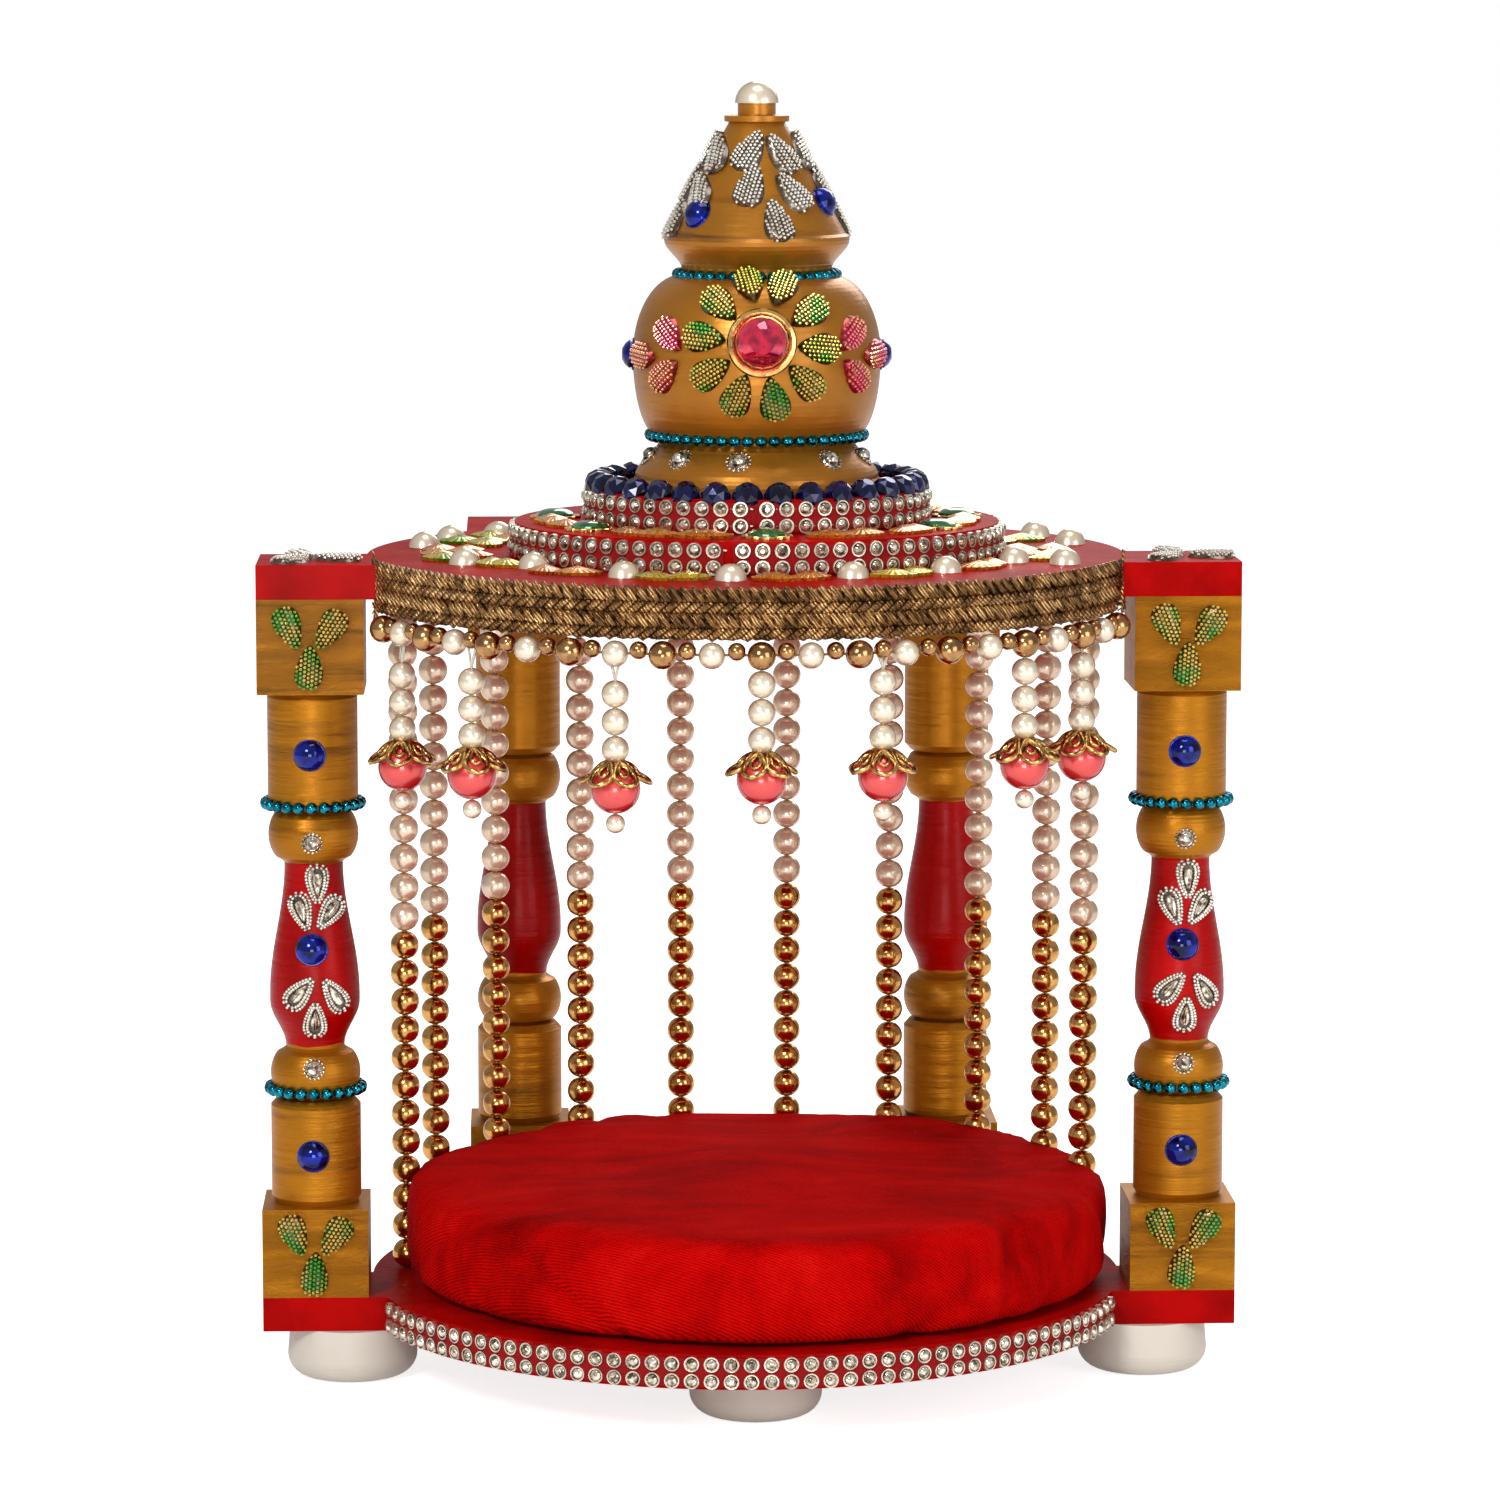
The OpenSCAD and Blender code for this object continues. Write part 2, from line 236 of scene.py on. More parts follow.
class Finish:
    """Builds a node material step by step."""

    def __init__(self, name):
        self.mat = bpy.data.materials.get(name) or bpy.data.materials.new(name)
        self.mat.use_nodes = True
        self.tree = self.mat.node_tree
        self.tree.nodes.clear()
        self.out = self.tree.nodes.new("ShaderNodeOutputMaterial")
        self.bsdf = self.tree.nodes.new("ShaderNodeBsdfPrincipled")
        self.tree.links.new(self.bsdf.outputs[0], self.out.inputs[0])
        self.coord = self.tree.nodes.new("ShaderNodeTexCoord")

    def feed(self, socket, value):
        """Links another node's output to a socket, or sets the socket's own value."""
        if hasattr(value, "links"):
            self.tree.links.new(value, socket)
        elif socket.type == "RGBA" and len(value) == 3:
            socket.default_value = (*value, 1)
        else:
            socket.default_value = value

    def set(self, **sockets):
        """Sets or links sockets of the surface shader; an underscore stands for a space."""
        for key, value in sockets.items():
            self.feed(self.bsdf.inputs[key.replace("_", " ")], value)

    def node(self, kind, output=0, **inputs):
        """Adds a node, feeds its inputs and returns one of its outputs."""
        n = self.tree.nodes.new("ShaderNode" + kind)
        for key, value in inputs.items():
            self.feed(n.inputs[key.replace("_", " ")], value)
        return n.outputs[output]

    def place(self, scale=(1, 1, 1), rotation=(0, 0, 0)):
        """Object coordinates, turned and stretched."""
        return self.node("Mapping", Vector=self.coord.outputs["Object"], Rotation=rotation, Scale=scale)

    def noise(self, scale, vector=None, detail=4.0, roughness=0.55, distortion=0.0):
        """Noise between 0 and 1."""
        vector = vector or self.coord.outputs["Object"]
        return self.node(
            "TexNoise", Vector=vector, Scale=scale, Detail=detail, Roughness=roughness, Distortion=distortion
        )

    def ramp(self, value, *stops):
        """Colours, or greys, by a value: each stop is a place and what shows there."""
        n = self.tree.nodes.new("ShaderNodeValToRGB")
        while len(n.color_ramp.elements) < len(stops):
            n.color_ramp.elements.new(0.5)
        for e, (at, colour) in zip(n.color_ramp.elements, stops):
            e.position = at
            e.color = (*colour, 1) if isinstance(colour, tuple) else (colour, colour, colour, 1)
        self.feed(n.inputs[0], value)
        return n.outputs[0]

    def span(self, value, low, high, start=0.3, end=0.7):
        """Maps a value between start and end to low and high."""
        return self.node("MapRange", Value=value, From_Min=start, From_Max=end, To_Min=low, To_Max=high)

    def mix(self, amount, a, b, mode="MIX"):
        """Mixes two colours."""
        n = self.tree.nodes.new("ShaderNodeMix")
        n.data_type = "RGBA"
        n.blend_type = mode
        n.clamp_factor = True
        self.feed(n.inputs[0], amount)
        self.feed(n.inputs[6], a)
        self.feed(n.inputs[7], b)
        return n.outputs[2]

    def math(self, op, a, b):
        """One sum on two values."""
        n = self.tree.nodes.new("ShaderNodeMath")
        n.operation = op
        self.feed(n.inputs[0], a)
        self.feed(n.inputs[1], b)
        return n.outputs[0]

    def bump(self, height, distance, strength=1.0):
        """Raises the surface by a height and returns the finished material."""
        self.set(Normal=self.node("Bump", Height=height, Distance=distance, Strength=strength))
        return self.mat

    def fine_bump(self, scale, distance):
        """A fine unevenness all over, as brushed paint or moulded plastic has."""
        return self.bump(self.noise(scale, detail=6), distance)


def shaded(colour, share):
    """A colour times a share."""
    return tuple(c * share for c in colour)


def red_gloss(colour):
    """Thick glossy enamel on wood, with brush ridges and darker pools."""
    f = Finish("red_gloss")
    pools = f.ramp(f.noise(70, detail=5), (0.35, shaded(colour, 0.62)), (0.62, colour))
    grain = f.noise(90, f.place(scale=(0.35, 0.35, 2.5)), detail=5)
    f.set(Base_Color=pools, Roughness=f.span(f.noise(40), 0.26, 0.42), Specular_IOR_Level=0.01)
    f.set(Coat_Weight=0.025, Coat_Roughness=0.1)
    return f.bump(f.math("ADD", grain, f.noise(420, detail=3)), 0.00025, 0.7)


def gold_coat(f, colour, dark):
    """Colour of brushed metallic gold paint with brown streaks round the turned wood."""
    rings = f.noise(38, f.place(scale=(0.5, 0.5, 7)), detail=7, roughness=0.65)
    smear = f.noise(30, detail=5, distortion=0.6)
    base = f.ramp(smear, (0.3, shaded(colour, 0.72)), (0.7, colour))
    streak = f.ramp(rings, (0.34, 1.0), (0.46, 0.0))
    patch = f.ramp(f.noise(19, detail=3), (0.46, 0.0), (0.64, 0.85))
    return f.mix(f.math("MULTIPLY", streak, patch), base, dark)


def gold_paint(colour, dark):
    """Brushed gold paint on the finial."""
    f = Finish("gold_paint")
    f.set(Base_Color=gold_coat(f, colour, dark), Metallic=0.62, Roughness=0.36)
    f.set(Coat_Weight=0.12, Coat_Roughness=0.2)
    ridges = f.noise(60, f.place(scale=(0.4, 0.4, 9)), detail=6)
    return f.bump(f.math("ADD", ridges, f.noise(300, detail=4)), 0.0002, 0.6)


def leg_paint(colour, dark, red, low, high, blocks_at):
    """Gold paint with the vase between two heights painted red."""
    f = Finish("leg_paint")
    z = f.node("SeparateXYZ", 2, Vector=f.coord.outputs["Object"])
    wander = f.span(f.noise(120, detail=2), -0.0004, 0.0004)
    edge = f.math("ADD", z, wander)
    inside = f.math("MULTIPLY", f.math("GREATER_THAN", edge, low), f.math("LESS_THAN", edge, high))
    grain = f.noise(60, f.place(scale=(0.8, 0.8, 0.2)), detail=5)
    vase = f.ramp(grain, (0.35, shaded(red, 0.5)), (0.65, red))
    f.set(Base_Color=f.mix(inside, gold_coat(f, colour, dark), vase))
    f.set(Metallic=f.ramp(inside, (0, 0.62), (1, 0.05)), Roughness=f.ramp(inside, (0, 0.36), (1, 0.3)))
    f.set(Coat_Weight=0.05, Coat_Roughness=0.16, Specular_IOR_Level=0.1)
    blocks = f.math("MAXIMUM", f.math("LESS_THAN", z, blocks_at[0]), f.math("GREATER_THAN", z, blocks_at[1]))
    ridges = f.noise(60, f.place(scale=(0.4, 0.4, 9)), detail=6)
    rough_wood = f.noise(70, f.place(scale=(0.9, 0.9, 3.5)), detail=8, roughness=0.7, distortion=0.6)
    rough = f.math("MULTIPLY", rough_wood, f.span(blocks, 0.2, 2.4, 0, 1))
    return f.bump(f.math("ADD", f.math("MULTIPLY", ridges, 0.45), rough), 0.0009, 0.9)


def pearl(name, colour, glow):
    """A moulded pearl under a clear lacquer: its colour is painted brighter where it faces the eye, as a
    painted highlight, and darker toward its outline, as painted shade.
    """
    f = Finish(name)
    shade = f.node("LayerWeight", 1, Blend=0.4)
    painted_shade = (colour[0] * 0.72, colour[1] * 0.56, colour[2] * 0.46)
    # Painted highlight in the middle, where the pearl faces the eye, and painted shade toward its outline.
    f.set(Base_Color=f.ramp(shade, (0.08, glow), (0.42, colour), (0.85, painted_shade)), Metallic=0.5)
    f.set(Roughness=0.27, Specular_IOR_Level=0.6, Coat_Weight=0.8, Coat_Roughness=0.05)
    return f.fine_bump(900, 0.00003)


def plated(name, colour, roughness=0.16, dark=0.55, scale=400):
    """Plated metal or metallised plastic with small tarnished specks."""
    f = Finish(name)
    specks = f.ramp(f.noise(scale, detail=3), (0.38, shaded(colour, dark)), (0.55, colour))
    f.set(Base_Color=specks, Metallic=1.0, Roughness=f.span(f.noise(300), roughness, roughness + 0.12))
    return f.fine_bump(700, 0.00004)


def stone(name, colour, painted_shade, coat=1.0):
    """Faceted stone with foil behind it, mottled at random between a darker colour and its own as painted
    light and shade in its facets.
    """
    f = Finish(name)
    # Painted light and shade in the facets: random spots run from the darker colour to the stone's own.
    painted_sparkle = f.ramp(f.noise(380, detail=2), (0.38, painted_shade), (0.62, colour))
    f.set(Base_Color=painted_sparkle, Metallic=0.55, Roughness=0.09, Specular_IOR_Level=0.8 * coat)
    f.set(Coat_Weight=coat, Coat_Roughness=0.02)
    return f.fine_bump(250, 0.00002)


def crystal():
    """Clear cut glass over silver foil, spotted at random dark, middle and bright as painted sparkle in its
    facets.
    """
    f = Finish("crystal")
    # The dark, middle and bright spots are painted shade and painted highlights of the facets.
    dark, middle, bright = (0.1, 0.075, 0.045), (0.55, 0.46, 0.34), (0.95, 0.89, 0.78)
    painted_sparkle = f.ramp(f.noise(700, detail=1), (0.36, dark), (0.48, middle), (0.6, bright))
    f.set(Base_Color=painted_sparkle, Metallic=0.8, Roughness=0.07, Coat_Weight=1.0, Coat_Roughness=0.02)
    return f.fine_bump(300, 0.00002)


def plastic(colour):
    """Moulded plastic with faint scuffs."""
    f = Finish("white_plastic")
    scuff = f.ramp(f.noise(55, detail=6), (0.3, shaded(colour, 0.9)), (0.6, colour))
    f.set(Base_Color=scuff, Roughness=0.42, Specular_IOR_Level=0.45)
    f.set(Subsurface_Weight=0.15, Subsurface_Radius=(0.004, 0.003, 0.002), Subsurface_Scale=1.0)
    return f.fine_bump(500, 0.00006)


def thread(name, colour):
    """Twisted thread, painted darker in the grooves of its twist as painted shade."""
    f = Finish(name)
    twist = f.node("TexWave", 1, Vector=f.place(), Scale=900, Distortion=2)
    # The low parts of the twist are painted darker: painted shade in its grooves.
    f.set(Base_Color=f.mix(twist, shaded(colour, 0.7), colour), Roughness=0.6, Specular_IOR_Level=0.08)
    return f.bump(twist, 0.0001)


def velvet(colour):
    """Short pile in fine ribs, brighter where it is seen edge on."""
    f = Finish("red_velvet")
    along = f.place(rotation=(0, math.radians(66), math.radians(-30)))
    rib = f.node("TexWave", 1, Vector=along, Scale=560, Distortion=2.2, Detail=3, Detail_Scale=1.6)
    pile = f.noise(1500, detail=3)
    brushed = f.noise(26, f.place(scale=(1, 2.2, 1)), detail=6, roughness=0.7, distortion=0.5)
    bright = (colour[0] * 1.3, 0.006, 0.004)
    body = f.ramp(brushed, (0.3, shaded(colour, 0.5)), (0.52, colour), (0.75, bright))
    both = f.math("ADD", f.math("MULTIPLY", rib, 0.5), f.math("MULTIPLY", pile, 0.5))
    shade = f.ramp(both, (0.25, 0.55), (0.6, 1.0))
    f.set(Base_Color=f.mix(1.0, body, shade, "MULTIPLY"), Roughness=0.85, Specular_IOR_Level=0.02)
    f.set(Sheen_Weight=0.08, Sheen_Roughness=0.3, Sheen_Tint=(1.0, 0.01, 0.01))
    height = f.math("ADD", f.math("MULTIPLY", rib, 0.6), f.math("MULTIPLY", pile, 0.6))
    return f.bump(height, 0.00035, 0.7)


def leaf_foil(name, colour, edge, painted_shade):
    """Metallic moulded foil: two colours that run into each other, with fine dark specks painted in at random
    as shade.
    """
    f = Finish(name)
    wash = f.noise(150, detail=3, roughness=0.6)
    body = f.ramp(wash, (0.4, colour), (0.56, edge))
    # Fine dark specks, laid at random, are painted shade.
    speck = f.ramp(f.noise(1400, detail=2), (0.34, painted_shade), (0.48, (1.0, 1.0, 1.0)))
    f.set(Base_Color=f.mix(1.0, body, speck, "MULTIPLY"), Metallic=0.6, Roughness=0.24)
    f.set(Coat_Weight=0.5, Coat_Roughness=0.08)
    return f.fine_bump(900, 0.00005)


# ---- modelling helpers for this stand ----


def ring_array(o, count, step, middle=STAND):
    """Repeats a piece round an upright axis, a copy every step degrees toward +X, by an applied Array."""
    turn = Matrix.Rotation(math.radians(step), 4, "Z")
    clear()
    bpy.ops.object.empty_add()
    pivot = bpy.context.object
    pivot.matrix_world = Matrix.Translation(middle) @ turn @ Matrix.Translation(-middle)
    bpy.context.view_layer.update()
    modify(o, "ARRAY", count=count, use_relative_offset=False, use_object_offset=True, offset_object=pivot)
    discard(pivot)
    return o


def stone_cut(name, radius, height, sides=8, table=0.5):
    """A faceted stone on XY: a girdle, a crown of turned facets and a flat table."""
    girdle = height * 0.3
    o = start("cylinder", name, vertices=sides, radius=radius, depth=girdle, location=(0, 0, girdle / 2))
    settle(o)
    pick(o, lambda f: f.normal.z > 0.9, "FACE")
    bpy.ops.mesh.extrude_region_move(TRANSFORM_OT_translate={"value": (0, 0, height * 0.42)})
    bpy.ops.transform.resize(value=(0.5 + table / 2, 0.5 + table / 2, 1), center_override=(0, 0, 0))
    bpy.ops.transform.rotate(value=math.pi / sides, orient_axis="Z", center_override=(0, 0, 0))
    bpy.ops.mesh.extrude_region_move(TRANSFORM_OT_translate={"value": (0, 0, height * 0.28)})
    bpy.ops.transform.resize(value=(table, table, 1), center_override=(0, 0, 0))
    bpy.ops.transform.rotate(value=math.pi / sides, orient_axis="Z", center_override=(0, 0, 0))
    bpy.ops.mesh.select_all(action="SELECT")
    bpy.ops.mesh.quads_convert_to_tris(quad_method="BEAUTY", ngon_method="BEAUTY")
    leave()
    return o


def rim(name, radius, thick, steps=28, parts=8):
    """A round bezel on XY, flattened underneath."""
    round_it = {"major_radius": radius, "minor_radius": thick}
    o = start("torus", name, major_segments=steps, minor_segments=parts, **round_it)
    pick(o, lambda v: v.z < -thick * 0.5)
    bpy.ops.transform.resize(value=(1, 1, 0.5), center_override=(0, 0, 0))
    leave()
    return o


def bead(name, radius, sides=20, rings=12, dimple=0.16):
    """A round bead on the Z axis with the edges of its thread hole drawn in."""
    o = start("uv_sphere", name, segments=sides, ring_count=rings, radius=radius)
    for end in (1, -1):
        pick(o, lambda v: v.z * end > radius * 0.94)
        bpy.ops.transform.resize(value=(0.8, 0.8, 1), center_override=(0, 0, 0))
        leave()
        pick(o, lambda v: v.z * end > radius * 0.995)
        bpy.ops.transform.translate(value=(0, 0, -end * radius * dimple))
        leave()
    return o


def leaf(name, width, length, dome, foil=None, dots=0.0004):
    """A teardrop leaf on XY, its point toward -Y, domed and covered with rows of fine beads in a V."""
    rows, columns = 14, 10
    o = start("grid", name, x_subdivisions=columns, y_subdivisions=rows, size=1)
    settle(o)
    for k in range(rows + 1):
        t = k / rows
        half = max(0.04, teardrop(t))
        pick(o, lambda v: abs(v.y + 0.5 - t) < 0.3 / rows)
        bpy.ops.transform.resize(value=(half, 1, 1), center_override=(0, t - 0.5, 0))
        leave()
    for k in range(columns + 1):
        u = abs(2 * k / columns - 1)
        choose(o)
        bpy.ops.object.mode_set(mode="EDIT")
        bpy.ops.mesh.select_all(action="DESELECT")
        bpy.ops.object.mode_set(mode="OBJECT")
        for v in o.data.vertices:
            v.select = v.index % (columns + 1) == k and abs(v.co.y) < 0.48
        bpy.ops.object.mode_set(mode="EDIT")
        bpy.ops.transform.translate(value=(0, 0, bulge(u)))
        leave()
    o.scale = (width, length, dome)
    settle(o)
    modify(o, "SOLIDIFY", thickness=0.0006, offset=-1)
    if not foil:
        return o
    grain = start("ico_sphere", f"{name}_grain", subdivisions=1, radius=dots)
    pick(grain, lambda v: v.z < -dots * 0.5)
    bpy.ops.mesh.delete(type="VERT")
    leave()
    places = []
    pitch = dots * 2.35
    for row in range(int(length / pitch) + 3):
        for side in range(-8, 9):
            x = side * pitch * 0.92
            y = -length / 2 + row * pitch - abs(side) * pitch * 0.45 + pitch * 0.6
            t = y / length + 0.5
            half = teardrop(t) * width / 2 if 0.04 < t < 0.985 else 0
            if abs(x) < half - dots * 0.4:
                u = abs(x) / half
                places.append(Matrix.Translation((x, y, bulge(u) * dome + dots * 0.3)))
    beads = strew(f"{name}_grains", paint(grain, foil[0]), places)
    # The blade under the grains takes the dark finish: painted shade between the grains.
    return join(name, [paint(o, foil[1]), beads])


def teardrop(t):
    """How wide a leaf is at a share of its length from its point."""
    return 1.36 * max(0.0, t) ** 0.62 * max(0.0, 1 - t**4) ** 0.5


def bulge(u):
    """How high a leaf stands between its middle, 0, and its edge, 1."""
    return (1 - u * u) ** 0.6 * (0.82 if u < 0.08 else 1)


def arc_bar(name, radius, thick, low, high, start_angle, end_angle, middle=STAND, step=2.5):
    """A bar swept round an upright axis between two angles from the front."""
    at = on_ring(radius + thick / 2, start_angle, (low + high) / 2, middle)
    o = start("plane", name, size=1)
    o.scale = (thick, high - low, 1)
    settle(o)
    o.matrix_world = facing(at, out_at(start_angle + 90))
    settle(o)
    pick(o, lambda v: True)
    steps = max(2, round(abs(end_angle - start_angle) / step))
    bpy.ops.mesh.spin(steps=steps, angle=math.radians(start_angle - end_angle), center=middle, axis=(0, 0, 1))
    leave()
    pick(o, lambda v: True)
    if abs(end_angle - start_angle) > 359:
        bpy.ops.mesh.remove_doubles(threshold=0.00002)
    bpy.ops.mesh.normals_make_consistent(inside=False)
    leave()
    return o


def strike(node, angle, z, middle=CROWN):
    """Where a level line from outside meets a node, seen from an upright axis, and that surface's normal."""
    out = out_at(angle)
    hit, where, normal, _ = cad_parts[node].ray_cast(Vector((middle.x, middle.y, z)) + out * 0.2, -out)
    if not hit:
        raise RuntimeError(f"{node} has no surface at {angle} degrees, {z} m")
    return where, normal


def on_node(node, angle, z, middle=CROWN, spin=0.0, sink=0.0):
    """The matrix for an ornament lying on a node."""
    where, normal = strike(node, angle, z, middle)
    return facing(where - normal * sink, normal, spin=spin)


def tube_line(name, points, radius, sides=6):
    """A thin thread through points, skinned from a curve and made a mesh."""
    curve = bpy.data.curves.new(name, "CURVE")
    curve.dimensions = "3D"
    curve.bevel_depth = radius
    curve.bevel_resolution = max(0, (sides - 4) // 2)
    curve.use_fill_caps = True
    line = curve.splines.new("POLY")
    line.points.add(len(points) - 1)
    for p, place in zip(line.points, points):
        p.co = (*place, 1)
    o = bpy.data.objects.new(name, curve)
    bpy.context.scene.collection.objects.link(o)
    choose(o)
    bpy.ops.object.convert(target="MESH")
    return bpy.context.object


# ---- sizes and colours ----


def colour_prop(name, text, value):
    """A colour that the sidebar shows."""
    return bpy.props.FloatVectorProperty(
        name=name, description=text, default=value, size=3, min=0, max=1, subtype="COLOR"
    )


def length_prop(name, text, value):
    """A length that the sidebar shows."""
    return bpy.props.FloatProperty(
        name=name, description=text, default=value, min=0, precision=4, unit="LENGTH", subtype="DISTANCE"
    )


class ShrineColours(bpy.types.PropertyGroup):
    """Colours of the stand's paints, beads and fabrics."""

    red: colour_prop("Red enamel", "Colour of the boards", (0.42, 0.002, 0.002))
    vase: colour_prop("Vase red", "Colour of the painted vases on the legs", (0.46, 0.001, 0.001))
    gold: colour_prop("Gold paint", "Colour of the turned wood", (0.47, 0.175, 0.008))
    streak: colour_prop("Gold streaks", "Brown streaks in the gold paint", (0.1, 0.038, 0.008))
    pearl: colour_prop("Pearl", "Body colour of the ivory pearls", (0.69, 0.56, 0.4))
    strand_pearl: colour_prop("Strand pearl", "Body colour of the pearls on the strands", (0.74, 0.5, 0.34))
    bead: colour_prop("Gold beads", "Colour of the metallised beads", (0.7, 0.36, 0.11))
    copper: colour_prop("Copper beads", "Colour of the fringe balls", (0.5, 0.27, 0.11))
    teal: colour_prop("Teal beads", "Colour of the fine bead rings", (0.012, 0.22, 0.31))
    blue: colour_prop("Blue stones", "Colour of the round stones", (0.002, 0.014, 0.3))
    ruby: colour_prop("Ruby", "Colour of the centre stone", (0.9, 0.012, 0.07))
    green: colour_prop("Green", "Colour of the green leaves and stones", (0.012, 0.2, 0.03))
    coral: colour_prop("Coral", "Colour of the tassel balls", (0.62, 0.02, 0.025))
    braid: colour_prop("Braid", "Colour of the metallic yarn", (0.36, 0.175, 0.06))
    velvet: colour_prop("Velvet", "Colour of the cushion", (0.57, 0.001, 0.001))
    feet: colour_prop("Feet", "Colour of the moulded feet", (0.66, 0.6, 0.52))


class ShrineSizes(bpy.types.PropertyGroup):
    """Sizes of the trims."""

    gold_bead: length_prop("Gold bead", "Across a gold bead", 0.00652)
    strand_pearl: length_prop("Strand pearl", "Across a pearl on a strand", 0.00672)
    ruby_across: length_prop("Ruby", "Across the centre stone", 0.0118)
    cup_pitch: length_prop("Cup spacing", "Between cup crystals in a row", 0.0042)
    half_pearl: length_prop("Half pearl", "Across a half pearl on the roof", 0.007)
    teal_bead: length_prop("Teal bead", "Across a fine bead", 0.0028)
    stitch: length_prop("Braid stitch", "Between plaited stitches", 0.0024)
    crown: length_prop("Cushion crown", "Most that the filling pushes the cover out", 0.004)
    gold_count: bpy.props.IntProperty(name="Gold beads", description="Gold on a strand", default=12, min=1)


def tint(key):
    """One of the stand's colours."""
    return tuple(getattr(bpy.context.scene.shrine_colours, key))


def size(key):
    """One of the trims' sizes."""
    return getattr(bpy.context.scene.shrine_sizes, key)


# ---- finishes that several pieces share ----


def ivory_pearl():
    """The pearls of the fringe, the tassels, the roof and the finial's top."""
    # The second colour is the painted highlight at each pearl's middle.
    return pearl("ivory_pearl", tint("pearl"), (0.83, 0.72, 0.56))


def bezel_gold():
    """The bright gold of stone settings."""
    return plated("bezel_gold", (0.95, 0.62, 0.2), 0.12, 0.7)


def teal_metal():
    """The fine beads round the finial and the legs."""
    return plated("teal_metal", tint("teal"), 0.14, 0.4)


# ---- pieces ----


class ShrineOperator:
    """What every operator of this stand shares."""

    bl_options = {"REGISTER", "UNDO"}


class SHRINE_OT_paint(ShrineOperator, bpy.types.Operator):
    """Paints the boards, tiers, feet, legs and finial"""

    bl_idname = "shrine.paint"
    bl_label = "Paint"

    def execute(self, context):
        red = red_gloss(tint("red"))
        gold = gold_paint(tint("gold"), tint("streak"))
        white = plastic(tint("feet"))
        low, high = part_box("leg_front_left")
        rise = high.z - low.z
        span = [low.z + rise * share for share in VASE_SPAN]
        blocks_at = (low.z + 0.0197, high.z - 0.0209)
        vase = leg_paint(tint("gold"), tint("streak"), tint("vase"), *span, blocks_at)
        ivory = ivory_pearl()
        for name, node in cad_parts.items():
            if name in ("base_board", "roof_board", "roof_tier_lower", "roof_tier_upper"):
                paint(node, red)
            elif name.startswith("foot"):
                paint(node, white)
            elif name.startswith("leg"):
                paint(node, vase)
            elif name == "finial_pearl":
                paint(node, ivory)
            else:
                paint(node, gold)
        return {"FINISHED"}


class SHRINE_OT_strands(ShrineOperator, bpy.types.Operator):
    """Strings the ten strands of gold beads and pearls"""

    bl_idname = "shrine.strands"
    bl_label = "Bead strands"

    def execute(self, context):
        gold = plated("bead_gold", tint("bead"), 0.13, 0.6)
        # The second colour is the painted highlight at each pearl's middle.
        ivory = pearl("strand_ivory", tint("strand_pearl"), (0.87, 0.69, 0.51))
        cord = thread("thread", (0.6, 0.5, 0.36))
        low, high = BASE_HIGH.z, ROOF_LOW.z
        count, across, pearl_across = size("gold_count"), size("gold_bead"), size("strand_pearl")
        # beads on a thread sit a little way into each other's holes
        gold_pitch = across * 6.44 / 6.52
        pearl_pitch = pearl_across * 6.65 / 6.72
        ball = paint(bead("strand_gold", across / 2, 18, 11), gold)
        globe = paint(bead("strand_pearl", pearl_across / 2, 18, 12, 0.06), ivory)
        places = [Matrix.Translation((0, 0, low + (i + 0.5) * gold_pitch)) for i in range(count)]
        top = low + count * gold_pitch
        pearls = int((high - top) / pearl_pitch)
        more = [Matrix.Translation((0, 0, top + (i + 0.5) * pearl_pitch)) for i in range(pearls)]
        along = [(0, 0, low), (0, 0, (low + high) / 2), (0, 0, high)]
        line = paint(tube_line("strand_thread", along, 0.0004), cord)
        whole = join("strand", [line, *copy_at(ball, places), *copy_at(globe, more)])
        discard(ball, globe)
        for i in range(1, 11):
            node = f"bead_strand_{i:02d}"
            a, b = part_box(node)
            twin = copy_at(whole, [Matrix.Translation(((a.x + b.x) / 2, (a.y + b.y) / 2, 0))])[0]
            finish_piece(join(f"strand_{i:02d}", [twin]), [node], 60)
        discard(whole)
        return {"FINISHED"}


